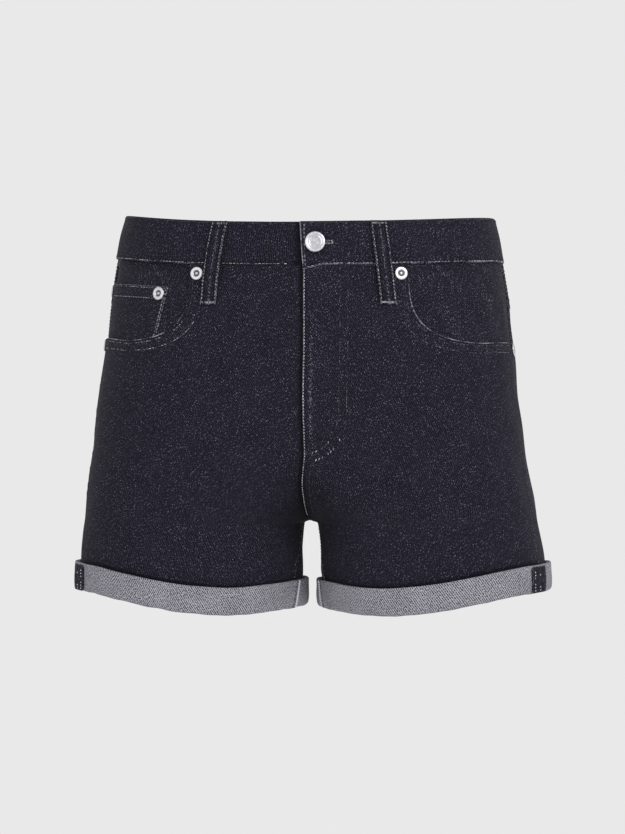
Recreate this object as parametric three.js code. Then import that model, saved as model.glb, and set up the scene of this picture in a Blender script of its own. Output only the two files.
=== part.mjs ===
// Denim shorts with turned-up cuffs, hollow and filled out as if worn. Millimetres, +Z up.
// The front faces -Y and the wearer's left is +X. The origin is the middle of the waist opening,
// at the height of the waist's edge over the side seams.
import * as THREE from 'three';

const degrees = THREE.MathUtils.degToRad;

// Cloth and seams
const PLY = 1.2;
const LINING_PLY = 1.0;
const SEAM_GAP = 0.3;
const HALF_GAP = SEAM_GAP / 2;

// Heights of the main lines
const SEAM_LEVEL = -38;
const CROTCH_LEVEL = -262.6;
const SIDE_AT_CROTCH = -269;
const HEM_OUTER = -321.6;
const HEM_INNER = -335.6;

// How far the waist's edge and the waistband's seam leave those levels at the front and the back
const WAIST_FRONT_DIP = 9.5;
const WAIST_BACK_RISE = 3;
const BAND_SEAM_FRONT_DIP = 8;
const BAND_SEAM_BACK_RISE = 2;

// The hem sags between its inner and outer ends: how far, and where across the leg, from -1 to 1
const HEM_FRONT_SAG = 9.2;
const HEM_BACK_SAG = 6.5;
const HEM_LOWEST = -0.29;
const HEM_SAG_REACH = { outer: 1.1, inner: 0.78 };
const HEM_SAG_POWER = 1.5;

// The crotch is a smooth bridge between the legs: half of the width that it adds
const BRIDGE = 8;
const INSEAM_SWING = degrees(21.5);
const INSEAM_SWING_HEIGHT = 70;

// Waistband
const BAND_OUT = 0.9;
const BAND_THICK = 2.2;
const BAND_LAP_EDGE = 0.5;
const BAND_UNDERLAP_END = 36;

// Fly: the wearer's left front laps over the right one
const FLY_EDGE = 4.5;
const FLY_OVERLAP = 9.5;
const FLY_LAP_STEP = (PLY + SEAM_GAP) / 2;
const BAND_LAP_STEP = (BAND_THICK + SEAM_GAP) / 2;
const LAP_FLAT = 41;
const LAP_FADE = 75;

// Front pocket: its edge is a quarter of a superellipse about the corner of side seam and waistband
const SCOOP = { x: 175, z: -46, wide: 82.6, deep: 63.6, power: 3.4, lift: 2.5 };
const FACING = { x: 175, z: -46, wide: 108, deep: 88, power: 3.2, lift: 0 };
const BAG = { x: 125, z: -46, wide: 76, deep: 160, power: 3, lift: 0 };

// Coin pocket, on the wearer's right: its top edge and its slanting inner edge
const COIN_TOP = -63.7;
const COIN_TOP_SLOPE = 0.07;
const COIN_EDGE_TOP_X = 112;
const COIN_EDGE_BOTTOM_X = 122.5;
const COIN_BOTTOM = -103;
const COIN_INSET = 6;

// Yoke and back pocket
const YOKE_CENTRE = -106;
const YOKE_SLOPE = 0.16;
const BACK_POCKET = { inner: 42, outer: 141, top: -119, tilt: 0.09, shoulder: -226, tip: -246, taper: 0.055 };

// Cuff
const CUFF_HEIGHT = 23.6;
const CUFF_COLUMNS = 42;
const STRIP_WIDTH = 21.5;
const STRIP_AHEAD = 9.3;
const STRIP_PLY = 0.9;

// Belt loops
const LOOP_WIDTH = 13.6;
const LOOP_THICK = 1.8;
const LOOP_LENGTH = 70;
const LOOP_DROP = 0.8;

// Metal
const BUTTON_X = 14.6;
const BUTTON_DROP = 18;
const METAL_STEPS = 12;
const METAL_LIFT = 0.45;

// How finely the panels are divided. The back starts at the yoke's row, rows bunch towards the crotch, and
// that many rows ease from the seam above to the level ones.
const FRONT_COLUMNS = 13;
const BACK_COLUMNS = 14;
const TORSO_ROWS = 15;
const LEG_ROWS = 6;
const YOKE_ROW = 4;
const YOKE_ROWS = 3;
const ROW_BUNCH = 1.7;
const TOP_EASE = 5;

// How the wearer's right end of the band drops under the lap
const UNDERLAP_FLAT = 3;
const UNDERLAP_FADE = 45;

// The zip's tape and the shield behind it: their reach across and down, and their distances in from the cloth
const ZIP = { from: 14.6, to: 37, top: -50, bottom: -192, outer: -1.0, inner: -1.95 };
const SHIELD = { from: -14, to: 39, top: -48.5, bottom: -198, outer: -2.8, inner: -3.8 };
const FLY_ROWS = 10;
const FLY_COLUMNS = 3;

// The waistband's rows: their share of its height, and their distance out from the cloth below it
const BAND_COLUMNS = 26;
const BAND_ROWS = [
  { down: 0, out: BAND_OUT - 0.4 },
  { down: 0.06, out: BAND_OUT },
  { down: 0.5, out: BAND_OUT + 0.2 },
  { down: 1, out: BAND_OUT },
];

// A belt loop's length, from its top, and how far its inner face stands off the cloth
const LOOP_SHIFT_ALLOWANCE = 0.2;
const LOOP_PROFILE = [
  { down: 0, lift: 1.3 },
  { down: 0.08, lift: 2.2 },
  { down: 0.22, lift: 3.6 },
  { down: 0.4, lift: 4.1 },
  { down: 0.58, lift: 4 },
  { down: 0.74, lift: 3 },
  { down: 0.86, lift: 1.4 },
  { down: 0.93, lift: 0.6 },
  { down: 1, lift: 0.5 },
];
const frontLoopX = (z) => 66.1 + 9.7 * THREE.MathUtils.clamp((-z - WAIST_FRONT_DIP) / LOOP_LENGTH, 0, 1);
const LOOPS = [
  { name: 'front_left', side: 1, angleAt: (z) => angleAtX(frontLoopX(z), z, 1) },
  { name: 'front_right', side: -1, angleAt: (z) => angleAtX(frontLoopX(z), z, 1) },
  { name: 'side_left', side: 1, angleAt: () => degrees(-34) },
  { name: 'side_right', side: -1, angleAt: () => degrees(-34) },
  { name: 'back', side: 1, angleAt: (z) => angleAtX(0, z, -1) },
];

// Where the cuff's section runs: out from the leg, and up from the hem line. It turns in under the leg.
const CUFF_PROFILE = [
  { out: 0.7, up: CUFF_HEIGHT - 1 },
  { out: 1.6, up: CUFF_HEIGHT },
  { out: 4, up: CUFF_HEIGHT },
  { out: 5.1, up: CUFF_HEIGHT - 1.1 },
  { out: 5.5, up: 12 },
  { out: 5.2, up: 2.6 },
  { out: 4.2, up: 0.7 },
  { out: 2.4, up: 0 },
  { out: -0.5, up: 0 },
  { out: -1.2, up: 0.6 },
  { out: -0.8, up: 1.3 },
  { out: 0.7, up: 1.3 },
];
const HEM_ALLOWANCE = 1.7;
const STRIP_OUT = 5.9;
const STRIP_HEIGHTS = [0.6, 8, 16, CUFF_HEIGHT - 0.8];
const STRIP_PLACES = [-0.5, -0.25, 0, 0.25, 0.5];

// Turned profiles, from the axis at the bottom round to the axis at the top
const BUTTON_PROFILE = [
  { radius: 0, height: 0 },
  { radius: 4.2, height: 0 },
  { radius: 4.2, height: 0.9 },
  { radius: 8.2, height: 0.9 },
  { radius: 8.7, height: 1.6 },
  { radius: 8.3, height: 2.6 },
  { radius: 7, height: 3 },
  { radius: 6.2, height: 2.6 },
  { radius: 0, height: 2.7 },
];
const RIVET_PROFILE = [
  { radius: 0, height: 0 },
  { radius: 5.1, height: 0 },
  { radius: 5.6, height: 0.5 },
  { radius: 5, height: 1.3 },
  { radius: 3.9, height: 1.5 },
  { radius: 2.7, height: 0.8 },
  { radius: 1.3, height: 0.7 },
  { radius: 1, height: 1.3 },
  { radius: 0, height: 1.5 },
];

// Rivets: at x across the front, or some degrees in front of the side seam. The layer is the cloth that
// carries the rivet, measured out from the front panel.
const COIN_LAYER = -PLY - SEAM_GAP;
const RIVETS = [
  { name: 'pocket_left', x: 85.7, z: -52.9, layer: 0 },
  { name: 'pocket_right', x: -85.7, z: -52.9, layer: 0 },
  { name: 'side_left', angle: 4.2, z: -112.8, layer: 0 },
  { name: 'side_right', angle: -4.2, z: -112.8, layer: 0 },
  { name: 'coin_inner', x: -120.3, z: -69.4, layer: COIN_LAYER },
  { name: 'coin_outer', angle: -4.2, z: -65.5, layer: COIN_LAYER },
];

const CLOTH = new THREE.MeshStandardMaterial({ color: 0x26242e, roughness: 0.92, metalness: 0 });
const REVERSE = new THREE.MeshStandardMaterial({ color: 0x82808c, roughness: 0.95, metalness: 0 });
const LINING = new THREE.MeshStandardMaterial({ color: 0x33313a, roughness: 0.95, metalness: 0 });
const METAL = new THREE.MeshStandardMaterial({ color: 0xc9c9cd, roughness: 0.3, metalness: 1 });

// A short table with named columns, read as one smooth function of its first column for each other column
function smoothTable(names, rows) {
  const sorted = [...rows].sort((a, b) => a[0] - b[0]);
  const at = sorted.map((row) => row[0]);
  const columns = {};
  names.slice(1).forEach((name, index) => {
    columns[name] = monotone(at, sorted.map((row) => row[index + 1]));
  });
  return columns;
}

// A cubic through the values that doesn't swing past them
function monotone(at, values) {
  const last = at.length - 1;
  const rise = at.slice(1).map((x, i) => (values[i + 1] - values[i]) / (x - at[i]));
  const slope = values.map((_, i) => {
    const before = rise[Math.max(i - 1, 0)];
    const after = rise[Math.min(i, last - 1)];
    const product = before * after;
    return product <= 0 ? 0 : (2 * product) / (before + after);
  });
  return (x) => {
    let i = 0;
    while (i < last - 1 && x > at[i + 1]) {
      i += 1;
    }
    const span = at[i + 1] - at[i];
    const t = THREE.MathUtils.clamp((x - at[i]) / span, 0, 1);
    const ease = t * t * (3 - 2 * t);
    const start = t * (1 - t) * (1 - t) * span * slope[i];
    const end = t * t * (t - 1) * span * slope[i + 1];
    return values[i] + ease * (values[i + 1] - values[i]) + start + end;
  };
}

const mix = THREE.MathUtils.lerp;
const smooth = THREE.MathUtils.smoothstep;

// One half of the garment, cut level: its outer reach, the reach of its inner end, the depths of its front
// and back, the power of its superellipse, and how many degrees the side seam lies to the front
const SECTION = smoothTable(
  ['z', 'half', 'inner', 'front', 'back', 'power', 'swing'],
  [
    [10, 157.8, -157, 103, 104, 2.25, 3.5],
    [0, 159.8, -159, 104, 105, 2.25, 3.5],
    [-19, 164.4, -158, 106, 108.5, 2.3, 3.5],
    [-38, 167.8, -155, 108, 112, 2.3, 3.6],
    [-68, 172.5, -146, 109.5, 119, 2.35, 3.7],
    [-103, 176, -130, 109.5, 126, 2.4, 4],
    [-137, 180, -108, 108.5, 129, 2.4, 5.5],
    [-172, 184.5, -80, 106.5, 127, 2.4, 8],
    [-207, 188.4, -46, 103, 121, 2.4, 13],
    [-228, 191.6, -26, 100, 115, 2.4, 17],
    [-242, 194.2, -13, 98, 110.5, 2.4, 18.5],
    [-254, 195.9, -0.6, 96, 106, 2.35, 20],
    [-262.6, 197, 8, 95, 103, 2.3, 20.5],
    [-265, 197.4, 10.2, 94.8, 102.3, 2.3, 20.7],
    [-275, 199, 10.9, 94, 99.5, 2.25, 21.3],
    [-298, 201.8, 11.7, 92, 95.5, 2.2, 22.5],
    [-345, 203.5, 12.4, 89.5, 92, 2.15, 23.5],
  ],
);

// Where the worn cloth hangs a little to one side, and how far the waist drops at the wearer's left
const HANG = smoothTable(
  ['z', 'sway', 'drop'],
  [
    [10, 0.9, 2.4],
    [-40, 0.3, 2.4],
    [-110, 0.3, 2.2],
    [-158, -0.8, 1.8],
    [-228, 0.2, 0.8],
    [-270, 1.5, 0.2],
    [-300, 2.5, 0],
    [-345, 2.9, 0],
  ],
);
const DROP_REACH = 170;

// The largest folds: a place on the front (face 1) or back (face -1), the half length and half width,
// the slant in degrees from level, and the height, which is negative in a trough
const FOLDS = [
  { face: 1, x: -48, z: -232, long: 34, wide: 9, slant: -15, high: -1.8 },
  { face: 1, x: -52, z: -217, long: 30, wide: 9, slant: -12, high: 1.4 },
  { face: 1, x: 44, z: -212, long: 30, wide: 8, slant: 19, high: -1.7 },
  { face: 1, x: 52, z: -199, long: 28, wide: 9, slant: 15, high: 1.2 },
  { face: 1, x: 62, z: -247, long: 26, wide: 14, slant: 8, high: -2.2 },
  { face: 1, x: 150, z: -150, long: 30, wide: 9, slant: -18, high: -1.2 },
  { face: 1, x: -140, z: -190, long: 30, wide: 10, slant: 20, high: -1.1 },
  { face: 1, x: -105, z: -285, long: 40, wide: 11, slant: -6, high: -1.1 },
  { face: -1, x: 60, z: -238, long: 40, wide: 9, slant: 14, high: -2.2 },
  { face: -1, x: -64, z: -244, long: 36, wide: 9, slant: -17, high: -2.4 },
  { face: -1, x: 88, z: -262, long: 42, wide: 10, slant: 6, high: -1.7 },
  { face: -1, x: -92, z: -268, long: 38, wide: 9, slant: -4, high: -1.5 },
  { face: -1, x: 150, z: -132, long: 26, wide: 9, slant: -24, high: -1.1 },
];

function foldAt(x, y, z) {
  let height = 0;
  for (const fold of FOLDS) {
    const slant = degrees(fold.slant);
    const dx = x - fold.x;
    const dz = z - fold.z;
    const along = (dx * Math.cos(slant) + dz * Math.sin(slant)) / fold.long;
    const across = (dz * Math.cos(slant) - dx * Math.sin(slant)) / fold.wide;
    const onFace = smooth(-fold.face * y, 15, 50);
    height += fold.high * onFace * Math.exp(-along * along - across * across);
  }
  return height * smooth(z, -318, -296);
}

function sectionAt(z) {
  const half = SECTION.half(z);
  const inner = SECTION.inner(z);
  return {
    middle: (half + inner) / 2,
    wide: (half - inner) / 2,
    front: SECTION.front(z),
    back: SECTION.back(z),
    power: SECTION.power(z),
  };
}

// A point of the +X half. The angle is 0 at the side, positive round to the front, negative to the back.
function skin(angle, z) {
  const s = sectionAt(z);
  const c = Math.cos(angle);
  const d = Math.sin(angle);
  const reach = (Math.abs(c) ** s.power + Math.abs(d) ** s.power) ** (-1 / s.power);
  const across = s.middle + s.wide * reach * c;
  const depth = d > 0 ? s.front : s.back;
  const x = Math.sqrt(Math.max(across * across - BRIDGE * BRIDGE, 0));
  return new THREE.Vector3(x, -depth * reach * d, z);
}

// The superellipse's own value, which is below 1 inside the cloth and above it outside
function fullness(x, y, z) {
  const s = sectionAt(z);
  const across = (Math.hypot(x, BRIDGE) - s.middle) / s.wide;
  const depth = y / (y < 0 ? s.front : s.back);
  return Math.abs(across) ** s.power + Math.abs(depth) ** s.power;
}

function outwardAt(p) {
  const step = 0.02;
  const n = new THREE.Vector3(
    fullness(p.x + step, p.y, p.z) - fullness(p.x - step, p.y, p.z),
    fullness(p.x, p.y + step, p.z) - fullness(p.x, p.y - step, p.z),
    fullness(p.x, p.y, p.z + step) - fullness(p.x, p.y, p.z - step),
  );
  return n.normalize();
}

// The angle at which the section at this height passes x, on the front (face 1) or the back (face -1)
function angleAtX(x, z, face) {
  const s = sectionAt(z);
  const across = (Math.hypot(x, BRIDGE) - s.middle) / s.wide;
  const u = THREE.MathUtils.clamp(across, -1, 1);
  const v = (1 - Math.abs(u) ** s.power) ** (1 / s.power);
  return face * Math.atan2(v, u);
}

// The shares of front and back in a direction, for lines that dip towards them
function facingShares(angle, z) {
  const power = SECTION.power(z);
  const c = Math.cos(angle);
  const d = Math.sin(angle);
  const reach = (Math.abs(c) ** power + Math.abs(d) ** power) ** (-1 / power);
  const across = c * reach;
  const depth = d * reach;
  return { across, front: depth > 0 ? depth * depth : 0, back: depth < 0 ? depth * depth : 0 };
}

function bandTop(angle) {
  const share = facingShares(angle, 0);
  return WAIST_BACK_RISE * share.back - WAIST_FRONT_DIP * share.front;
}

function bandSeam(angle) {
  const share = facingShares(angle, SEAM_LEVEL);
  return SEAM_LEVEL + BAND_SEAM_BACK_RISE * share.back - BAND_SEAM_FRONT_DIP * share.front;
}

function hemLine(angle) {
  const share = facingShares(angle, HEM_INNER);
  const level = mix(HEM_INNER, HEM_OUTER, (1 + share.across) / 2);
  const sag = Math.sin(angle) > 0 ? HEM_FRONT_SAG : HEM_BACK_SAG;
  const reach = share.across > HEM_LOWEST ? HEM_SAG_REACH.outer : HEM_SAG_REACH.inner;
  const place = (share.across - HEM_LOWEST) / reach;
  return level - sag * Math.max(0, 1 - place * place) ** HEM_SAG_POWER;
}

function yokeLine(angle) {
  return YOKE_CENTRE + YOKE_SLOPE * skin(angle, YOKE_CENTRE).x;
}

function sideAngle(z) {
  return degrees(SECTION.swing(z));
}

// The panel's inner edge: the centre line down to the crotch, and the inseam below it
function innerAngle(z, edge, face) {
  if (z > CROTCH_LEVEL) {
    return angleAtX(edge, z, face);
  }
  const s = sectionAt(z);
  const swing = INSEAM_SWING * smooth(CROTCH_LEVEL - z, 0, INSEAM_SWING_HEIGHT);
  const gap = HALF_GAP / (face > 0 ? s.front : s.back);
  return face * Math.PI - swing - face * gap;
}

// How far the lap lifts the wearer's left front, or presses in the right one
function lapShift(x, z, step, end) {
  const near = 1 - smooth(Math.abs(x), LAP_FLAT, LAP_FADE);
  return step * near * smooth(z, end - 25, end);
}

// One point of the cloth, with the place that patterns are cut by. The cloth is mirrored for the -X side.
function clothPoint(side, angle, z, shift = () => 0) {
  const p = skin(angle, z);
  const n = outwardAt(p);
  const x = p.x;
  p.x *= side;
  n.x *= side;
  p.addScaledVector(n, foldAt(p.x, p.y, z) + shift(p.x, z));
  return { p, n, x, z, angle };
}

function frontShift(side) {
  return (x, z) => side * lapShift(x, z, FLY_LAP_STEP, -238);
}

// A sheet is a list of points and triangles. Rows that run together share their points.
function sheetOf(grid, closed = false) {
  const points = [];
  const faces = [];
  const seen = new Map();
  const indexOf = (point) => {
    const key = point.p.toArray().map((value) => Math.round(value * 2000)).join();
    if (!seen.has(key)) {
      seen.set(key, points.length);
      points.push(point);
    }
    return seen.get(key);
  };
  const index = grid.map((row) => row.map(indexOf));
  const addFace = (a, b, c) => {
    if (a !== b && b !== c && a !== c) {
      faces.push([a, b, c]);
    }
  };
  const rows = index.length;
  for (let k = 0; k + 1 < rows; k += 1) {
    const columns = index[k].length;
    for (let i = 0; i < (closed ? columns : columns - 1); i += 1) {
      const j = (i + 1) % columns;
      addFace(index[k][i], index[k + 1][i], index[k + 1][j]);
      addFace(index[k][i], index[k + 1][j], index[k][j]);
    }
  }
  return { points, faces };
}

// The part of a sheet where a measure of its points is positive, cut through its triangles
function cutSheet(sheet, measure) {
  const values = sheet.points.map(measure);
  const points = [];
  const kept = new Map();
  const keep = (key, make) => {
    if (!kept.has(key)) {
      kept.set(key, points.length);
      points.push(make());
    }
    return kept.get(key);
  };
  const between = (a, b) => {
    const [low, high] = a < b ? [a, b] : [b, a];
    return keep(`${low}-${high}`, () => {
      const t = values[low] / (values[low] - values[high]);
      return blendPoints(sheet.points[low], sheet.points[high], t);
    });
  };
  const faces = [];
  for (const face of sheet.faces) {
    const ring = [];
    face.forEach((a, i) => {
      const b = face[(i + 1) % 3];
      if (values[a] >= 0) {
        ring.push(keep(`${a}`, () => sheet.points[a]));
      }
      if ((values[a] >= 0) !== (values[b] >= 0)) {
        ring.push(between(a, b));
      }
    });
    for (let i = 1; i + 1 < ring.length; i += 1) {
      faces.push([ring[0], ring[i], ring[i + 1]]);
    }
  }
  return { points, faces };
}

function blendPoints(a, b, t) {
  return {
    p: a.p.clone().lerp(b.p, t),
    n: a.n.clone().lerp(b.n, t).normalize(),
    x: mix(a.x, b.x, t),
    z: mix(a.z, b.z, t),
    angle: mix(a.angle, b.angle, t),
  };
}

// The last step for every point: the cloth sways and drops a little as it hangs
function settle(p) {
  const lean = HANG.drop(p.z) * (p.x / DROP_REACH) ** 3;
  return new THREE.Vector3(p.x + HANG.sway(p.z), p.y, p.z - lean);
}

// A closed wall between two distances out from the sheet
function wall(sheet, outer, inner) {
  const count = sheet.points.length;
  const place = (distance) => (point) => settle(point.p.clone().addScaledVector(point.n, distance));
  const vertices = [...sheet.points.map(place(outer)), ...sheet.points.map(place(inner))];
  const faces = [];
  const edges = new Set(sheet.faces.flatMap(([a, b, c]) => [`${a},${b}`, `${b},${c}`, `${c},${a}`]));
  for (const [a, b, c] of sheet.faces) {
    faces.push([a, b, c], [a + count, c + count, b + count]);
    for (const [from, to] of [[a, b], [b, c], [c, a]]) {
      if (!edges.has(`${to},${from}`)) {
        faces.push([from, from + count, to + count], [from, to + count, to]);
      }
    }
  }
  return facingOut(vertices, faces);
}

// A geometry whose faces point out: a solid with a negative volume is turned over
function facingOut(vertices, faces) {
  const cross = new THREE.Vector3();
  const volume = faces.reduce(
    (sum, [a, b, c]) => sum + vertices[a].dot(cross.crossVectors(vertices[b], vertices[c])),
    0,
  );
  const turned = volume > 0 ? faces : faces.map(([a, b, c]) => [a, c, b]);
  const geometry = new THREE.BufferGeometry();
  const positions = vertices.flatMap((v) => v.toArray());
  geometry.setAttribute('position', new THREE.Float32BufferAttribute(positions, 3));
  geometry.setIndex(turned.flat());
  geometry.computeVertexNormals();
  return geometry;
}

// Heights of a panel's rows. Rows bunch at the crotch, where the cloth turns level between the legs.
function rowHeight(row, share) {
  if (row <= TORSO_ROWS) {
    const left = 1 - row / TORSO_ROWS;
    const centre = mix(CROTCH_LEVEL, SEAM_LEVEL, left ** ROW_BUNCH);
    const side = mix(SIDE_AT_CROTCH, SEAM_LEVEL, left);
    return mix(centre, side, share);
  }
  const down = (row - TORSO_ROWS) / LEG_ROWS;
  const centre = mix(CROTCH_LEVEL, HEM_INNER, down ** ROW_BUNCH);
  const side = mix(SIDE_AT_CROTCH, HEM_OUTER, down);
  return mix(centre, side, share);
}

// A panel's height at a row: its first rows ease up to the seam above, its last ones down to the hem
function trimmedHeight(row, share, angle, topRow, topAt) {
  const z = rowHeight(row, share);
  const left = Math.max(0, 1 - (row - topRow) / TOP_EASE);
  const down = Math.max(0, (row - TORSO_ROWS) / LEG_ROWS);
  const top = topAt(angle) - rowHeight(topRow, share);
  const hem = hemLine(angle) + HEM_ALLOWANCE - z;
  return z + top * left ** 2 + hem * down ** 3;
}

// Rows of points, each from the panel's inner edge to its side seam
function panelGrid({ side, face, columns, edgeAt, shift }, rows, heightAt) {
  return rows.map((row) => {
    const line = [];
    for (let i = 0; i <= columns; i += 1) {
      const share = i / columns;
      let z = rowHeight(row, share);
      let angle = 0;
      for (let pass = 0; pass < 5; pass += 1) {
        const inner = innerAngle(z, edgeAt(z), face);
        const seam = sideAngle(z) + (face * HALF_GAP) / SECTION.front(z);
        angle = mix(inner, seam, share);
        z = heightAt(row, share, angle);
      }
      line.push(clothPoint(side, angle, z, shift));
    }
    return line;
  });
}

const rowsFrom = (first, last) => Array.from({ length: last - first + 1 }, (_, i) => first + i);
const LAST_ROW = TORSO_ROWS + LEG_ROWS;
const halfGapEdge = () => HALF_GAP;
const lapEdge = (z) => HALF_GAP + FLY_EDGE * smooth(z, -232, -200);

// How far the wearer's right front runs on under the lap, past the centre line
function underlapEnd(z) {
  return -HALF_GAP + (FLY_EDGE + SEAM_GAP) * smooth(z, -232, -200) + FLY_OVERLAP * smooth(z, -240, -205);
}

function frontPointAt(x, z, shift) {
  return clothPoint(Math.sign(x) || 1, angleAtX(Math.abs(x), z, 1), z, shift);
}

function frontGrid(side) {
  const panel = {
    side,
    face: 1,
    columns: FRONT_COLUMNS,
    edgeAt: side > 0 ? lapEdge : halfGapEdge,
    shift: frontShift(side),
  };
  const topAt = (angle) => bandSeam(angle) - SEAM_GAP;
  const heightAt = (row, share, angle) => trimmedHeight(row, share, angle, 0, topAt);
  const grid = panelGrid(panel, rowsFrom(0, LAST_ROW), heightAt);
  if (side > 0) {
    return grid;
  }
  return grid.map((line, row) => {
    const z = line[0].z;
    const under = [1, 0.5].map((share) => {
      const x = row < TORSO_ROWS ? mix(-HALF_GAP, underlapEnd(z), share) : -HALF_GAP;
      const same = Math.abs(x + HALF_GAP) < 0.01;
      return same ? line[0] : frontPointAt(x, z, frontShift(side));
    });
    return [...under, ...line];
  });
}

// Positive inside a rounded outline that is given by its corner, reach and power
function insideOutline(outline, point) {
  const across = Math.abs(point.x - outline.x) / outline.wide;
  const lifted = point.z - outline.lift * smooth(point.x, outline.x - 30, outline.x);
  const down = Math.max(outline.z - lifted, 0) / outline.deep;
  const reach = (across ** outline.power + down ** outline.power) ** (1 / outline.power);
  return (1 - reach) * outline.deep;
}

function backGrid(side) {
  const panel = { side, face: -1, columns: BACK_COLUMNS, edgeAt: halfGapEdge };
  const topAt = (angle) => yokeLine(angle) - HALF_GAP;
  const heightAt = (row, share, angle) => trimmedHeight(row, share, angle, YOKE_ROW, topAt);
  return panelGrid(panel, rowsFrom(YOKE_ROW, LAST_ROW), heightAt);
}

function yokeGrid(side) {
  const panel = { side, face: -1, columns: BACK_COLUMNS, edgeAt: halfGapEdge };
  const heightAt = (row, share, angle) => {
    const top = bandSeam(angle) - SEAM_GAP;
    const bottom = yokeLine(angle) + HALF_GAP;
    return mix(top, bottom, row / YOKE_ROWS);
  };
  return panelGrid(panel, rowsFrom(0, YOKE_ROWS), heightAt);
}

// The five lines of a back pocket, each positive on the pocket's side of it
function backPocketEdges() {
  const { inner, outer, top, tilt, shoulder, tip, taper } = BACK_POCKET;
  const middle = (inner + outer) / 2;
  const slope = (shoulder - tip) / ((outer - inner) / 2);
  return [
    (point) => top + tilt * (point.x - inner) - point.z,
    (point) => point.x - inner - taper * (top - point.z),
    (point) => outer - taper * (top - point.z) - point.x,
    (point) => point.z - tip - slope * (point.x - middle),
    (point) => point.z - tip + slope * (point.x - middle),
  ];
}

function coinPocketEdges() {
  const lean = (COIN_EDGE_BOTTOM_X - COIN_EDGE_TOP_X) / (COIN_TOP - COIN_BOTTOM);
  return [
    (point) => COIN_TOP + COIN_TOP_SLOPE * (point.x - COIN_EDGE_TOP_X) - point.z,
    (point) => point.x - COIN_EDGE_TOP_X - lean * (COIN_TOP - point.z),
    (point) => insideOutline(FACING, point) - COIN_INSET,
  ];
}

const cutAll = (sheet, measures) => measures.reduce(cutSheet, sheet);

// The band runs from the lap's edge round the wearer's left, back and right, and on under the lap
function waistbandGrid() {
  const stations = [];
  const addHalf = (side, edge, first, last) => {
    for (let i = first; i <= last; i += 1) {
      const share = side > 0 ? i / BAND_COLUMNS : 1 - i / BAND_COLUMNS;
      stations.push({ side, angleAt: (z) => mix(angleAtX(edge, z, 1), angleAtX(0, z, -1), share) });
    }
  };
  addHalf(1, BAND_LAP_EDGE, 0, BAND_COLUMNS);
  addHalf(-1, 0, 1, BAND_COLUMNS);
  for (const x of [BAND_UNDERLAP_END / 3, (2 * BAND_UNDERLAP_END) / 3, BAND_UNDERLAP_END]) {
    stations.push({ side: 1, under: true, angleAt: (z) => angleAtX(x, z, 1) });
  }
  return BAND_ROWS.map(({ down, out }) => stations.map(({ side, under, angleAt }) => {
    const angle = angleAt(SEAM_LEVEL);
    const z = mix(bandTop(angle), bandSeam(angle), down);
    const step = side > 0 && !under ? BAND_LAP_STEP : -BAND_LAP_STEP;
    return clothPoint(side, angleAt(z), z, (x) => out + (angle > 0 ? bandShift(x, step, under) : 0));
  }));
}

// The lap stays proud to past the underlap's end, and the underlap drops beside the lap's edge
function bandShift(x, step, under) {
  const flat = step > 0 ? LAP_FLAT : UNDERLAP_FLAT;
  const fade = step > 0 ? LAP_FADE : UNDERLAP_FADE;
  return under ? step : step * (1 - smooth(Math.abs(x), flat, fade));
}

// A loop lies on the band at its top, stands off it, and is tacked down below the band
function beltLoop({ side, angleAt }) {
  const top = bandTop(angleAt(0)) - LOOP_DROP;
  const grid = LOOP_PROFILE.map(({ down, lift }) => {
    const z = top - down * LOOP_LENGTH;
    const centre = clothPoint(side, angleAt(z), z, (x) => (side > 0 ? LOOP_SHIFT_ALLOWANCE : 0) + lift);
    const across = new THREE.Vector3(0, 0, 1).cross(centre.n).normalize();
    return [-1, 1].map((end) => ({
      ...centre,
      p: centre.p.clone().addScaledVector(across, (end * LOOP_WIDTH) / 2),
    }));
  });
  return wall(sheetOf(grid), LOOP_THICK, 0);
}

function cuff(side) {
  const ring = (out, up) => {
    const line = [];
    for (let i = 0; i < CUFF_COLUMNS; i += 1) {
      const angle = (i / CUFF_COLUMNS) * 2 * Math.PI;
      const point = clothPoint(side, angle, hemLine(angle) + up);
      line.push({ ...point, p: point.p.clone().addScaledVector(point.n, out) });
    }
    return line;
  };
  const rings = CUFF_PROFILE.map(({ out, up }) => ring(out, up));
  const sheet = sheetOf([...rings, rings[0]], true);
  return facingOut(sheet.points.map(({ p }) => settle(p)), sheet.faces);
}

// The side seam's allowance, pressed to the front, which shows as a strip up the cuff
function cuffStrip(side) {
  const grid = STRIP_HEIGHTS.map((up) => STRIP_PLACES.map((place) => {
    const ahead = STRIP_AHEAD - place * STRIP_WIDTH;
    const angle = sideAngle(HEM_OUTER + CUFF_HEIGHT / 2) + ahead / SECTION.front(HEM_OUTER);
    return clothPoint(side, angle, hemLine(angle) + up);
  }));
  return wall(sheetOf(grid), STRIP_OUT + STRIP_PLY, STRIP_OUT);
}

// A flat piece behind the fly, between two distances in from the cloth
function flyPiece({ from, to, top, bottom, outer, inner }) {
  const grid = [];
  for (let k = 0; k <= FLY_ROWS; k += 1) {
    const z = mix(top, bottom, k / FLY_ROWS);
    const line = [];
    for (let i = 0; i <= FLY_COLUMNS; i += 1) {
      line.push(frontPointAt(mix(from, to, i / FLY_COLUMNS), z));
    }
    grid.push(line);
  }
  return wall(sheetOf(grid), outer, inner);
}

function turned(profile) {
  const outline = profile.map(({ radius, height }) => new THREE.Vector2(radius, height));
  return new THREE.LatheGeometry(outline, METAL_STEPS);
}

// Sets a turned piece on the cloth, with its axis straight out
function seat(mesh, point, lift) {
  mesh.position.copy(settle(point.p.clone().addScaledVector(point.n, lift)));
  mesh.quaternion.setFromUnitVectors(new THREE.Vector3(0, 1, 0), point.n);
  return mesh;
}

const shorts = new THREE.Group();
function add(name, geometry, material) {
  const mesh = new THREE.Mesh(geometry, material.clone());
  mesh.name = name;
  shorts.add(mesh);
  return mesh;
}

add('waistband', wall(sheetOf(waistbandGrid()), 0, -BAND_THICK), CLOTH);

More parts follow.
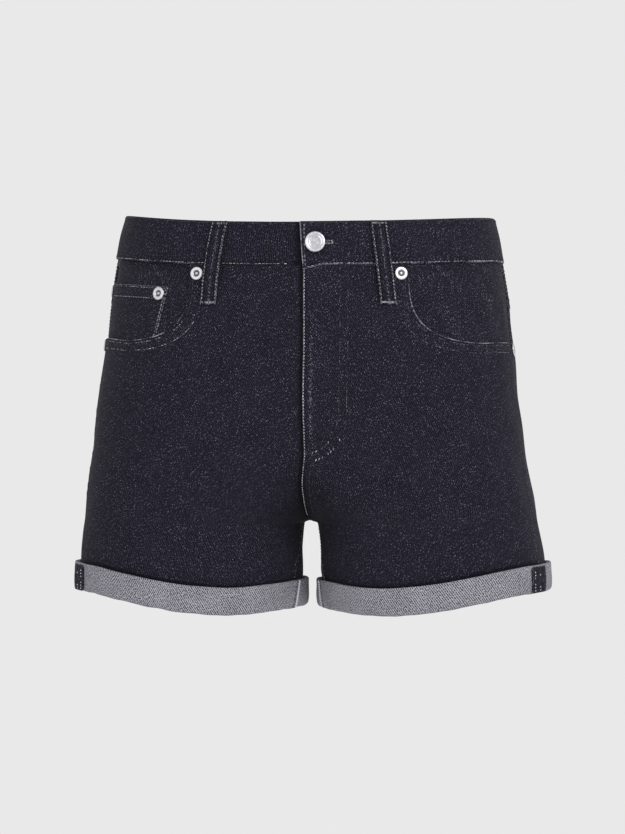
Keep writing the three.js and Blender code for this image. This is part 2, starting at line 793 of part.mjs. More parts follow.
for (const [name, side] of [['right', -1], ['left', 1]]) {
  const front = sheetOf(frontGrid(side));
  const back = sheetOf(backGrid(side));
  const yoke = sheetOf(yokeGrid(side));
  add(`front_${name}`, wall(cutSheet(front, (point) => -insideOutline(SCOOP, point)), 0, -PLY), CLOTH);
  add(`back_${name}`, wall(back, 0, -PLY), CLOTH);
  add(`yoke_${name}`, wall(yoke, 0, -PLY), CLOTH);

  let depth = PLY + SEAM_GAP;
  if (side < 0) {
    const coin = cutAll(front, coinPocketEdges());
    add('coin_pocket', wall(coin, -depth, -depth - LINING_PLY), CLOTH);
    depth += LINING_PLY + SEAM_GAP;
  }
  const facing = cutSheet(front, (point) => insideOutline(FACING, point));
  add(`pocket_facing_${name}`, wall(facing, -depth, -depth - LINING_PLY), CLOTH);
  depth += LINING_PLY + SEAM_GAP;
  const bag = cutSheet(front, (point) => insideOutline(BAG, point));
  add(`pocket_bag_${name}`, wall(bag, -depth, -depth - LINING_PLY), LINING);

  const patch = cutAll(back, backPocketEdges());
  add(`back_pocket_${name}`, wall(patch, SEAM_GAP + PLY, SEAM_GAP), CLOTH);
  add(`cuff_${name}`, cuff(side), REVERSE);
  add(`cuff_strip_${name}`, cuffStrip(side), CLOTH);
}

add('fly_zip', flyPiece(ZIP), LINING);
add('fly_shield', flyPiece(SHIELD), CLOTH);

for (const loop of LOOPS) {
  add(`belt_loop_${loop.name}`, beltLoop(loop), CLOTH);
}

const button = add('waist_button', turned(BUTTON_PROFILE), METAL);
const buttonZ = bandTop(Math.PI / 2) - BUTTON_DROP;
seat(button, frontPointAt(BUTTON_X, buttonZ), BAND_OUT + BAND_LAP_STEP + METAL_LIFT);

for (const { name, x, angle, z, layer } of RIVETS) {
  const side = Math.sign(x || angle);
  const at = x ? angleAtX(Math.abs(x), z, 1) : sideAngle(z) + degrees(Math.abs(angle));
  seat(add(`rivet_${name}`, turned(RIVET_PROFILE), METAL), clothPoint(side, at, z), layer + METAL_LIFT);
}

export default shorts;
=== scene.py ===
import math

import bpy
import numpy as np
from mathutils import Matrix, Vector


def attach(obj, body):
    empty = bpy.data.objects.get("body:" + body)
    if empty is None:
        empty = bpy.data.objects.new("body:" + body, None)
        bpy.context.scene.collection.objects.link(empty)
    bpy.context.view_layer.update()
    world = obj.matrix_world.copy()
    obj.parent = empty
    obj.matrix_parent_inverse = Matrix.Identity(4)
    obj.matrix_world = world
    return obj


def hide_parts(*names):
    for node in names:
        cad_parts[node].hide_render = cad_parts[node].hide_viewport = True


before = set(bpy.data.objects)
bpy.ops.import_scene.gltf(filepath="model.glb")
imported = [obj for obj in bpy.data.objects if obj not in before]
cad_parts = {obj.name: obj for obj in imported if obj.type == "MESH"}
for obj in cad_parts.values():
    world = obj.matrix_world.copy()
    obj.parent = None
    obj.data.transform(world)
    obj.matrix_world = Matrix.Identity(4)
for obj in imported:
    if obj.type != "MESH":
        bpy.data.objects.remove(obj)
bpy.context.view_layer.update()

# Denim shorts with turned-up cuffs, hollow and filled out as if worn. Sizes are in millimetres until a
# mesh is made. The front faces -Y, the wearer's left is +X, and the origin is in the waist opening.
MM = 0.001

# Cloth and seams
PLY = 1.2
LINING_PLY = 1.0
SEAM_GAP = 0.3
HALF_GAP = SEAM_GAP / 2
SEAM_TUCK = 1.4

# Heights of the main lines
SEAM_LEVEL = -38
CROTCH_LEVEL = -262.6
SIDE_AT_CROTCH = -269
HEM_OUTER = -321.6
HEM_INNER = -335.6

# How far the waist's edge and the band's seam leave those levels at the front and the back
WAIST_FRONT_DIP = 9.5
WAIST_BACK_RISE = 3
BAND_SEAM_FRONT_DIP = 8
BAND_SEAM_BACK_RISE = 2

# The hem sags between its inner and outer ends
HEM_FRONT_SAG = 9.2
HEM_BACK_SAG = 6.5
HEM_LOWEST = -0.29
HEM_SAG_REACH = {"outer": 1.1, "inner": 0.78}
HEM_SAG_POWER = 1.5
HEM_ALLOWANCE = 1.7

# The crotch is a smooth bridge between the legs
BRIDGE = 8
INSEAM_SWING = math.radians(21.5)
INSEAM_SWING_HEIGHT = 70

# Waistband
BAND_OUT = 0.9
BAND_THICK = 2.2
BAND_LAP_EDGE = 0.9
BAND_LAP_EDGE_LOW = 4.4
LAP_CORNER_DIP = 3.8
BAND_UNDERLAP_END = 36
UNDERLAP_FLAT = 3
UNDERLAP_FADE = 45

# Fly: the wearer's left front laps over the right one, and the lap narrows to a plain seam at its end
FLY_EDGE = 4.5
FLY_OVERLAP = 9.5
FLY_NARROWS = -200
FLY_END = -232
UNDERLAP_NARROWS = -205
UNDERLAP_END = -240
FLY_STEP_END = -238
FLY_STEP_FADE = 25
FLY_LAP_STEP = (PLY + SEAM_GAP) / 2
BAND_LAP_STEP = (BAND_THICK + SEAM_GAP) / 2
LAP_FLAT = 41
LAP_FADE = 75

# Pocket outlines: quarter superellipses about the corner of side seam and waistband
SCOOP = {"x": 175, "z": -46, "wide": 82.6, "deep": 63.6, "power": 3.4, "lift": 2.5}
FACING = {"x": 175, "z": -46, "wide": 108, "deep": 88, "power": 3.2, "lift": 0}
BAG = {"x": 125, "z": -46, "wide": 76, "deep": 160, "power": 3, "lift": 0}
OUTLINE_LIFT_REACH = 30

# Coin pocket
COIN_TOP = -63.7
COIN_TOP_SLOPE = 0.07
COIN_EDGE_TOP_X = 112
COIN_EDGE_BOTTOM_X = 122.5
COIN_BOTTOM = -103
COIN_LEAN = (COIN_EDGE_BOTTOM_X - COIN_EDGE_TOP_X) / (COIN_TOP - COIN_BOTTOM)
COIN_INSET = 6

# Yoke and back pocket
YOKE_CENTRE = -106
YOKE_SLOPE = 0.16
BACK_POCKET = {
    "inner": 42, "outer": 141, "top": -119, "tilt": 0.09, "shoulder": -226, "tip": -246, "taper": 0.055,
}

# Cuff and the seam allowance that shows on it
CUFF_HEIGHT = 23.6
STRIP_WIDTH = 21.5
STRIP_AHEAD = 9.3
STRIP_PLY = 0.9
STRIP_OUT = 5.9

# Belt loops
LOOP_WIDTH = 13.6
LOOP_THICK = 1.8
LOOP_LENGTH = 70
LOOP_DROP = 0.8
LOOP_SIDE_ANGLE = math.radians(-34)
FRONT_LOOP_X = 66.1
FRONT_LOOP_LEAN = 9.7

# Metal
BUTTON_X = 14.6
BUTTON_DROP = 18
METAL_LIFT = 0.45
COIN_LAYER = -PLY - SEAM_GAP

# Rows of the coarse division that the panels share
TORSO_ROWS = 15
LEG_ROWS = 6
LAST_ROW = TORSO_ROWS + LEG_ROWS
YOKE_ROW = 4
ROW_BUNCH = 1.7
TOP_EASE = 5


def mix(a, b, share):
    return a + (b - a) * share


def smooth(value, low, high):
    t = np.clip((np.asarray(value, dtype=float) - low) / (high - low), 0, 1)
    return t * t * (3 - 2 * t)


class Curves:
    """A short table with named columns, read as one smooth function of its first column for each other."""

    def __init__(self, names, rows):
        table = np.array(sorted(rows), dtype=float)
        self.at = table[:, 0]
        self.values = {name: table[:, i + 1] for i, name in enumerate(names[1:])}
        self.slopes = {name: self.slopes_of(column) for name, column in self.values.items()}

    def slopes_of(self, column):
        rise = np.diff(column) / np.diff(self.at)
        product = rise[:-1] * rise[1:]
        total = rise[:-1] + rise[1:]
        inner = np.where(product > 0, 2 * product / np.where(total == 0, 1, total), 0)
        return np.concatenate([rise[:1], inner, rise[-1:]])

    def read(self, name, x):
        x = np.asarray(x, dtype=float)
        column = self.values[name]
        slope = self.slopes[name]
        i = np.clip(np.searchsorted(self.at, x) - 1, 0, len(self.at) - 2)
        span = self.at[i + 1] - self.at[i]
        t = np.clip((x - self.at[i]) / span, 0, 1)
        ease = t * t * (3 - 2 * t)
        start = t * (1 - t) * (1 - t) * span * slope[i]
        end = t * t * (t - 1) * span * slope[i + 1]
        return column[i] + ease * (column[i + 1] - column[i]) + start + end


# One half of the garment, cut level: its outer reach, the reach of its inner end, the depths of its front
# and back, the power of its superellipse, and how many degrees the side seam lies to the front
SECTION = Curves(
    ["z", "half", "inner", "front", "back", "power", "swing"],
    [
        [10, 157.8, -157, 103, 104, 2.25, 3.5],
        [0, 159.8, -159, 104, 105, 2.25, 3.5],
        [-19, 164.4, -158, 106, 108.5, 2.3, 3.5],
        [-38, 167.8, -155, 108, 112, 2.3, 3.6],
        [-68, 172.5, -146, 109.5, 119, 2.35, 3.7],
        [-103, 176, -130, 109.5, 126, 2.4, 4],
        [-137, 180, -108, 108.5, 129, 2.4, 5.5],
        [-172, 184.5, -80, 106.5, 127, 2.4, 8],
        [-207, 188.4, -46, 103, 121, 2.4, 13],
        [-228, 191.6, -26, 100, 115, 2.4, 17],
        [-242, 194.2, -13, 98, 110.5, 2.4, 18.5],
        [-254, 195.9, -0.6, 96, 106, 2.35, 20],
        [-262.6, 197, 8, 95, 103, 2.3, 20.5],
        [-265, 197.4, 10.2, 94.8, 102.3, 2.3, 20.7],
        [-275, 199, 10.9, 94, 99.5, 2.25, 21.3],
        [-298, 201.8, 11.7, 92, 95.5, 2.2, 22.5],
        [-345, 203.5, 12.4, 89.5, 92, 2.15, 23.5],
    ],
)

# Where the worn cloth hangs a little to one side, and how far the waist drops at the wearer's left
HANG = Curves(
    ["z", "sway", "drop"],
    [
        [10, 0.9, 2.4],
        [-40, 0.3, 2.4],
        [-110, 0.3, 2.2],
        [-158, -0.8, 1.8],
        [-228, 0.2, 0.8],
        [-270, 1.5, 0.2],
        [-300, 2.5, 0],
        [-345, 2.9, 0],
    ],
)
DROP_REACH = 170

# The faint waves of cloth that isn't pulled flat
DRAPE_HEIGHT = 0.45
DRAPE_LENGTH = 46

# The folds fade between these heights, above the cuffs
FOLDS_FROM = -296
FOLDS_END = -318

# Folds, the largest ones: a place on the front (1) or back (-1), the half length and half width, the slant
# in degrees from level, and the height, which is negative in a trough
FOLD_NAMES = ["face", "x", "z", "long", "wide", "slant", "high"]
FOLDS = [
    [1, -48, -232, 34, 9, -15, -1.8],
    [1, -52, -217, 30, 9, -12, 1.4],
    [1, 44, -212, 30, 8, 19, -1.7],
    [1, 52, -199, 28, 9, 15, 1.2],
    [1, 62, -247, 26, 14, 8, -2.2],
    [1, 150, -150, 30, 9, -18, -1.2],
    [1, -140, -190, 30, 10, 20, -1.1],
    [1, -105, -285, 40, 11, -6, -1.1],
    [-1, 60, -238, 40, 9, 14, -2.2],
    [-1, -64, -244, 36, 9, -17, -2.4],
    [-1, 88, -262, 42, 10, 6, -1.7],
    [-1, -92, -268, 38, 9, -4, -1.5],
    [-1, 150, -132, 26, 9, -24, -1.1],
]

# Finer creases, shallower than the folds, with the same columns
CREASES = [
    [1, -26, -200, 22, 5, -14, -0.6],
    [1, -34, -246, 24, 5, -24, -0.9],
    [1, -60, -252, 30, 6, -8, 0.7],
    [1, 30, -226, 20, 5, 31, -0.7],
    [1, 36, -240, 22, 6, 22, 0.6],
    [1, 92, -228, 34, 7, 9, -0.6],
    [1, 100, -258, 34, 8, 4, 0.6],
    [1, 128, -172, 26, 6, -22, -0.6],
    [1, -118, -226, 30, 7, 13, -0.5],
    [1, -150, -262, 26, 7, 24, -0.6],
    [1, 160, -268, 24, 7, -20, -0.6],
    [1, 58, -292, 34, 7, -4, -0.6],
    [-1, 34, -252, 26, 6, 26, -1.1],
    [-1, -38, -256, 30, 6, -29, -1.2],
    [-1, 72, -252, 34, 6, 9, 0.9],
    [-1, -78, -256, 38, 6, -11, 1.0],
    [-1, 118, -276, 34, 8, 2, -0.9],
    [-1, -124, -280, 38, 7, -9, -0.8],
    [-1, -148, -150, 26, 6, 21, -0.7],
    [-1, 26, -150, 18, 6, 34, -0.5],
    [-1, -30, -166, 20, 6, -30, -0.6],
]


def fold_height(x, y, z):
    height = np.zeros_like(x)
    for row in FOLDS + CREASES:
        fold = dict(zip(FOLD_NAMES, row))
        slant = math.radians(fold["slant"])
        dx = x - fold["x"]
        dz = z - fold["z"]
        along = (dx * math.cos(slant) + dz * math.sin(slant)) / fold["long"]
        across = (dz * math.cos(slant) - dx * math.sin(slant)) / fold["wide"]
        on_face = smooth(-fold["face"] * y, 15, 50)
        height += fold["high"] * on_face * np.exp(-along**2 - across**2)
    drape = DRAPE_HEIGHT * ripple(x + 0.9 * y, z + 0.3 * y, DRAPE_LENGTH, 11)
    height += drape * smooth(z, SEAM_LEVEL - 2, SEAM_LEVEL - 52)
    return height * smooth(z, FOLDS_END, FOLDS_FROM)


def ripple(u, v, length, seed):
    """A soft uneven wave between about -1 and 1, with waves of about that length."""
    random = np.random.default_rng(seed)
    total = np.zeros(np.broadcast(u, v).shape)
    for _ in range(7):
        direction = random.uniform(0, 2 * math.pi)
        wave = length * random.uniform(0.7, 1.6)
        phase = random.uniform(0, 2 * math.pi)
        total += np.sin((u * math.cos(direction) + v * math.sin(direction)) * 2 * math.pi / wave + phase)
    return total / 3.2


def section_at(z):
    names = ("half", "inner", "front", "back", "power")
    half, inner, front, back, power = (SECTION.read(name, z) for name in names)
    return (half + inner) / 2, (half - inner) / 2, front, back, power


def superellipse(angle, power):
    """Across and along the depth, each from -1 to 1."""
    c = np.cos(angle)
    d = np.sin(angle)
    reach = (np.abs(c) ** power + np.abs(d) ** power) ** (-1 / power)
    return reach * c, reach * d


def skin(angle, z):
    """A point of the +X half. The angle is 0 at the side, positive to the front, negative to the back."""
    middle, wide, front, back, power = section_at(z)
    c, d = superellipse(angle, power)
    across = middle + wide * c
    depth = np.where(d > 0, front, back)
    x = np.sqrt(np.maximum(across**2 - BRIDGE**2, 0))
    return np.stack([x, -depth * d, z + 0 * x], axis=-1)


def fullness(x, y, z):
    """Below 1 inside the cloth and above it outside."""
    middle, wide, front, back, power = section_at(z)
    across = (np.hypot(x, BRIDGE) - middle) / wide
    depth = y / np.where(y < 0, front, back)
    return np.abs(across) ** power + np.abs(depth) ** power


def outward_at(p):
    step = 0.02
    x, y, z = p[..., 0], p[..., 1], p[..., 2]
    n = np.stack(
        [
            fullness(x + step, y, z) - fullness(x - step, y, z),
            fullness(x, y + step, z) - fullness(x, y - step, z),
            fullness(x, y, z + step) - fullness(x, y, z - step),
        ],
        axis=-1,
    )
    return n / np.linalg.norm(n, axis=-1, keepdims=True)


def angle_at_x(x, z, face):
    """The angle at which the section at this height passes x, on the front (1) or the back (-1)."""
    middle, wide, _, _, power = section_at(z)
    u = np.clip((np.hypot(x, BRIDGE) - middle) / wide, -1, 1)
    v = (1 - np.abs(u) ** power) ** (1 / power)
    return face * np.arctan2(v, u)


def facing_shares(angle, z):
    """Across, and the shares of front and back in a direction, for lines that dip towards them."""
    across, depth = superellipse(angle, SECTION.read("power", z))
    return across, np.where(depth > 0, depth**2, 0), np.where(depth < 0, depth**2, 0)


def band_top(angle):
    _, front, back = facing_shares(angle, 0)
    return WAIST_BACK_RISE * back - WAIST_FRONT_DIP * front


def lap_dip(angle, side):
    """How far the lap's lower corner hangs below the seam."""
    x = skin(angle, SEAM_LEVEL + 0 * angle)[..., 0]
    near = (1 - smooth(x, 3, 24)) * (np.sin(angle) > 0) * (side > 0)
    return LAP_CORNER_DIP * near


def band_seam(angle):
    _, front, back = facing_shares(angle, SEAM_LEVEL)
    return SEAM_LEVEL + BAND_SEAM_BACK_RISE * back - BAND_SEAM_FRONT_DIP * front


def hem_line(angle):
    across, _, _ = facing_shares(angle, HEM_INNER)
    level = mix(HEM_INNER, HEM_OUTER, (1 + across) / 2)
    sag = np.where(np.sin(angle) > 0, HEM_FRONT_SAG, HEM_BACK_SAG)
    reach = np.where(across > HEM_LOWEST, HEM_SAG_REACH["outer"], HEM_SAG_REACH["inner"])
    place = (across - HEM_LOWEST) / reach
    return level - sag * np.maximum(0, 1 - place**2) ** HEM_SAG_POWER


def yoke_line(angle):
    return YOKE_CENTRE + YOKE_SLOPE * skin(angle, YOKE_CENTRE + 0 * angle)[..., 0]


def coin_top(x):
    return COIN_TOP + COIN_TOP_SLOPE * (x - COIN_EDGE_TOP_X)


def back_pocket_top(x):
    return BACK_POCKET["top"] + BACK_POCKET["tilt"] * (x - BACK_POCKET["inner"])


def side_angle(z):
    return np.radians(SECTION.read("swing", z))


def inner_angle(z, edge, face):
    """The panel's inner edge: the centre line down to the crotch, and the inseam below it."""
    _, _, front, back, _ = section_at(z)
    swing = INSEAM_SWING * smooth(CROTCH_LEVEL - z, 0, INSEAM_SWING_HEIGHT)
    gap = HALF_GAP / (front if face > 0 else back)
    inseam = face * math.pi - swing - face * gap
    return np.where(z > CROTCH_LEVEL, angle_at_x(edge, z, face), inseam)


def lap_shift(x, z):
    near = 1 - smooth(np.abs(x), LAP_FLAT, LAP_FADE)
    return FLY_LAP_STEP * near * smooth(z, FLY_STEP_END - FLY_STEP_FADE, FLY_STEP_END)


def front_shift(side):
    return lambda x, z: side * lap_shift(x, z)


def no_shift(x, z):
    return 0 * x


def lap_edge(z):
    return HALF_GAP + FLY_EDGE * smooth(z, FLY_END, FLY_NARROWS)


def underlap_end(z):
    under_lap = (FLY_EDGE + SEAM_GAP) * smooth(z, FLY_END, FLY_NARROWS)
    return -HALF_GAP + under_lap + FLY_OVERLAP * smooth(z, UNDERLAP_END, UNDERLAP_NARROWS)


def half_gap_edge(z):
    return HALF_GAP + 0 * z


# What a sheet keeps for each point: the place that patterns are cut by, its place along and down the
# cloth, and its distances from the sheet's own edges
MARKS = ["x", "z", "angle", "u", "v", "first", "last", "top", "bottom", "cut"]
FAR = 1000.0


class Sheet:
    """Points of cloth with their outward directions, their marks, and the triangles between them."""

    def __init__(self, p, n, marks, faces):
        self.p = p
        self.n = n
        self.marks = marks
        self.faces = faces

    def __getitem__(self, name):
        return self.marks[:, MARKS.index(name)]

    def put(self, name, values):
        self.marks[:, MARKS.index(name)] = values

    def blend(self, a, b, t):
        t = t[:, None]
        n = mix(self.n[a], self.n[b], t)
        n = n / np.linalg.norm(n, axis=1, keepdims=True)
        return mix(self.p[a], self.p[b], t), n, mix(self.marks[a], self.marks[b], t)


def cloth(side, angle, z, shift=no_shift):
    """Points of the worn cloth and their outward directions, mirrored for the -X side."""
    angle, z = np.broadcast_arrays(np.asarray(angle, dtype=float), np.asarray(z, dtype=float))
    return raised(skin(angle, z), np.array([side, 1, 1]), z, shift)


def raised(p, mirror, z, shift):
    """Points of the skin on their own side of the garment, and out on its folds."""
    n = outward_at(p) * mirror
    flat_x = p[..., 0].copy()
    p = p * mirror
    height = fold_height(p[..., 0], p[..., 1], z) + shift(p[..., 0], z)
    return p + n * height[..., None], n, flat_x


def run_lengths(p, axis):
    """Distances along a grid's lines from their first points."""
    steps = np.diff(p, axis=axis, prepend=np.take(p, [0], axis=axis))
    return np.cumsum(np.linalg.norm(steps, axis=-1), axis=axis)


def grid_faces(rows, columns, closed=False):
    k, i = np.meshgrid(np.arange(rows - 1), np.arange(columns if closed else columns - 1), indexing="ij")
    j = (i + 1) % columns
    a = k * columns + i
    b = (k + 1) * columns + i
    c = (k + 1) * columns + j
    d = k * columns + j
    first = np.stack([a, b, c], axis=-1).reshape(-1, 3)
    second = np.stack([a, c, d], axis=-1).reshape(-1, 3)
    return np.concatenate([first, second])


def sheet_of(side, angle, z, shift=no_shift, point=None):
    """A sheet from a grid of angles and heights."""
    p, n, flat_x = cloth(side, angle, z, shift) if point is None else point
    rows, columns = p.shape[:2]
    u = run_lengths(p, 1)
    v = run_lengths(p, 0)
    far = np.full(p.shape[:2], FAR)
    marks = np.stack([flat_x, z, angle, u, v, u, u[:, -1:] - u, v, v[-1:] - v, far], axis=-1)
    marks[..., 3] -= u[:, columns // 2][:, None]
    faces = grid_faces(rows, columns)
    sheet = Sheet(p.reshape(-1, 3), n.reshape(-1, 3), marks.reshape(-1, len(MARKS)), faces)
    return facing_out(sheet)


def facing_out(sheet):
    """Turns the triangles outward, and lets u run to the right when seen from outside."""
    a, b, c = corners(sheet.p, sheet.faces)
    cross = np.cross(b - a, c - a)
    if (cross * sheet.n[sheet.faces[:, 0]]).sum() < 0:
        sheet.faces = sheet.faces[:, [0, 2, 1]]
        sheet.put("u", -sheet["u"])
    return sheet


SNAP = 0.03


def split(sheet, values, keep=None):
    """Cuts the triangles along the line where the values pass 0, and keeps the points' marks. With keep
    1 or -1 only that side stays."""
    values = np.where(np.abs(values) < SNAP, 0.0, values)
    inside = values >= 0
    faces = sheet.faces
    count = inside[faces].sum(axis=1)
    mixed = faces[(count == 1) | (count == 2)]
    one_in = count[(count == 1) | (count == 2)] == 1
    lone = np.argmax(inside[mixed] == one_in[:, None], axis=1)
    order = np.arange(len(mixed))
    a = mixed[order, lone]
    b = mixed[order, (lone + 1) % 3]
    c = mixed[order, (lone + 2) % 3]
    pairs = np.sort(np.concatenate([np.stack([a, b], 1), np.stack([a, c], 1)]), axis=1)
    pairs, back = np.unique(pairs, axis=0, return_inverse=True)
    back = back.reshape(-1)
    low = values[pairs[:, 0]]
    high = values[pairs[:, 1]]
    p, n, marks = sheet.blend(pairs[:, 0], pairs[:, 1], low / (low - high))
    new = np.arange(len(pairs)) + len(sheet.p)
    new = np.where(low == 0, pairs[:, 0], np.where(high == 0, pairs[:, 1], new))
    ab = new[back[: len(a)]]
    ac = new[back[len(a):]]
    tips = np.stack([a, ab, ac], 1)
    rest = np.concatenate([np.stack([ab, b, c], 1), np.stack([ab, c, ac], 1)])
    rest_in = np.concatenate([~one_in, ~one_in])
    parts = [faces[count == 3], tips[one_in], rest[rest_in]] if keep != -1 else []
    parts += [faces[count == 0], tips[~one_in], rest[~rest_in]] if keep != 1 else []
    faces = np.concatenate(parts)
    whole = (faces[:, 0] != faces[:, 1]) & (faces[:, 1] != faces[:, 2]) & (faces[:, 0] != faces[:, 2])
    result = Sheet(
        np.concatenate([sheet.p, p]),
        np.concatenate([sheet.n, n]),
        np.concatenate([sheet.marks, marks]),
        faces[whole],
    )
    return compact(result)


def compact(sheet):
    used, faces = np.unique(sheet.faces, return_inverse=True)
    return Sheet(sheet.p[used], sheet.n[used], sheet.marks[used], faces.reshape(-1, 3))


# Distances from a cut edge at which the cloth gets rows of points, so that the edge is round
EDGE_ROWS = [0.12, 0.5, 1.2, 2.2]


def cut_out(sheet, measure):
    """The part of a sheet where a measure of its points is positive, with rows of points by the edge."""
    sheet = split(sheet, measure(sheet), keep=1)
    for distance in EDGE_ROWS:
        sheet = split(sheet, measure(sheet) - distance)
    sheet.put("cut", np.minimum(sheet["cut"], np.maximum(measure(sheet), 0)))
    return sheet


def settle(p):
    """The last step for every point: the cloth sways and drops a little as it hangs."""
    lean = HANG.read("drop", p[..., 2]) * (p[..., 0] / DROP_REACH) ** 3
    sway = HANG.read("sway", p[..., 2])
    return np.stack([p[..., 0] + sway, p[..., 1], p[..., 2] - lean], axis=-1)


def edge_distance(sheet, names=("first", "last", "top", "bottom", "cut")):
    return np.min([sheet[name] for name in names], axis=0)


def lip(distance, radius):
    """How far a round edge falls away."""
    left = radius - np.clip(distance, 0, radius)
    return radius - np.sqrt(np.maximum(radius**2 - left**2, 0))


def shell(sheet, outer, inner, wear_and_shade=0.0):
    """A closed skin between two distances out from the sheet: face side 0 outside, 1 inside."""
    outer = np.broadcast_to(outer, len(sheet.p))
    inner = np.broadcast_to(inner, len(sheet.p))
    count = len(sheet.p)
    p = np.concatenate([sheet.p + sheet.n * outer[:, None], sheet.p + sheet.n * inner[:, None]])
    faces = sheet.faces
    edges = np.concatenate([faces[:, [0, 1]], faces[:, [1, 2]], faces[:, [2, 0]]])
    code = edges[:, 0] * count + edges[:, 1]
    other = edges[:, 1] * count + edges[:, 0]
    rim = edges[~np.isin(code, other)]
    start, end = rim[:, 0], rim[:, 1]
    rim_faces = np.concatenate(
        [np.stack([start, start + count, end + count], 1), np.stack([start, end + count, end], 1)]
    )
    inner_faces = faces[:, [0, 2, 1]] + count
    uv = np.stack([sheet["u"], sheet["v"]], 1)
    worn = np.broadcast_to(np.asarray(wear_and_shade, dtype=float), count)
    return {
        "p": settle(p),
        "faces": np.concatenate([faces, rim_faces, inner_faces]),
        "sides": np.concatenate([np.zeros(len(faces) + len(rim_faces)), np.ones(len(inner_faces))]),
        "uv": np.concatenate([uv, uv]),
        "wear_and_shade": np.concatenate([worn, worn * 0.6]),
    }


def corners(p, faces):
    """The three corners of each triangle."""
    return (p.reshape(-1, 3)[faces[:, i]] for i in range(3))


def turned_out(p, faces, centre):
    """The triangles, turned to face away from the centre."""
    a, b, c = corners(p, faces)
    outward = (np.cross(b - a, c - a) * (a - centre)).sum() >= 0
    return faces if outward else faces[:, [0, 2, 1]]


def part_of(p, faces, u, v, wear_and_shade):
    """A part that shows its piece's first material all over."""
    return {
        "p": p.reshape(-1, 3),
        "faces": faces,
        "sides": np.zeros(len(faces)),
        "uv": np.stack([u.ravel(), v.ravel()], 1),
        "wear_and_shade": wear_and_shade.ravel(),
    }


def joined(parts):
    starts = np.cumsum([0] + [len(part["p"]) for part in parts[:-1]])
    whole = {key: np.concatenate([part[key] for part in parts]) for key in ("p", "sides", "uv", "wear_and_shade")}
    whole["faces"] = np.concatenate([part["faces"] + start for part, start in zip(parts, starts)])
    return whole


def make_piece(name, parts, materials, nodes=()):
    """One object from parts, with a material for each side that the parts name."""
    data = joined(parts)
    mesh = bpy.data.meshes.new(name)
    count = len(data["faces"])
    mesh.vertices.add(len(data["p"]))
    mesh.vertices.foreach_set("co", (data["p"] * MM).astype(np.float32).ravel())
    mesh.loops.add(count * 3)
    mesh.loops.foreach_set("vertex_index", data["faces"].astype(np.int32).ravel())
    mesh.polygons.add(count)
    mesh.polygons.foreach_set("loop_start", np.arange(0, count * 3, 3, dtype=np.int32))
    mesh.update(calc_edges=True)
    layer = mesh.uv_layers.new(name="pattern")
    layer.data.foreach_set("uv", data["uv"][data["faces"].ravel()].astype(np.float32).ravel())
    wear_and_shade = mesh.attributes.new("wear_and_shade", "FLOAT", "POINT")
    wear_and_shade.data.foreach_set("value", data["wear_and_shade"].astype(np.float32))
    for material in materials:
        mesh.materials.append(material)
    mesh.polygons.foreach_set("material_index", data["sides"].astype(np.int32))
    mesh.polygons.foreach_set("use_smooth", np.ones(count, dtype=bool))
    mesh.validate()
    piece = bpy.data.objects.new(name, mesh)
    bpy.context.scene.collection.objects.link(piece)
    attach(piece, "root")
    if nodes:
        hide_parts(*nodes)
    return piece


def bunched(count, length, rows=(0.12, 0.4, 0.9, 1.6, 2.6)):
    """Shares from 0 to 1, even but for rows close to both ends of that length."""
    near = np.array(rows) / length
    even = np.linspace(0, 1, count)
    even = even[(even > near[-1] * 1.3) & (even < 1 - near[-1] * 1.3)]
    return np.concatenate([[0], near, even, 1 - near[::-1], [1]])


# Panels
FRONT_SHARES = bunched(104, 190)
BACK_SHARES = bunched(112, 200)
EDGE_RADIUS = 0.5


def row_height(row, share):
    left = 1 - row / TORSO_ROWS
    down = (row - TORSO_ROWS) / LEG_ROWS
    above_centre = mix(CROTCH_LEVEL, SEAM_LEVEL, np.maximum(left, 0) ** ROW_BUNCH)
    below_centre = mix(CROTCH_LEVEL, HEM_INNER, np.maximum(down, 0) ** ROW_BUNCH)
    centre = np.where(row <= TORSO_ROWS, above_centre, below_centre)
    above_side = mix(SIDE_AT_CROTCH, SEAM_LEVEL, left)
    below_side = mix(SIDE_AT_CROTCH, HEM_OUTER, down)
    side = np.where(row <= TORSO_ROWS, above_side, below_side)
    return mix(centre, side, share)


def trimmed_height(row, share, angle, top_row, top_at):
    """The first rows ease up to the seam above, and the last ones down to the hem."""
    z = row_height(row, share)
    left = np.maximum(0, 1 - (row - top_row) / TOP_EASE)
    down = np.maximum(0, (row - TORSO_ROWS) / LEG_ROWS)
    top = top_at(angle) - row_height(top_row, share)
    hem = hem_line(angle) + HEM_ALLOWANCE - z
    return z + top * left**2 + hem * down**3


def panel_grid(face, shares, edge_at, rows, height_at):
    """Angles and heights in rows from the panel's inner edge to its side seam."""
    row = rows[:, None]
    share = shares[None, :]
    z = row_height(row, share)
    for _ in range(6):
        inner = inner_angle(z, edge_at(z), face)
        seam = side_angle(z) + face * HALF_GAP / SECTION.read("front", z)
        angle = mix(inner, seam, share)
        z = height_at(row, share, angle)
    return angle, z


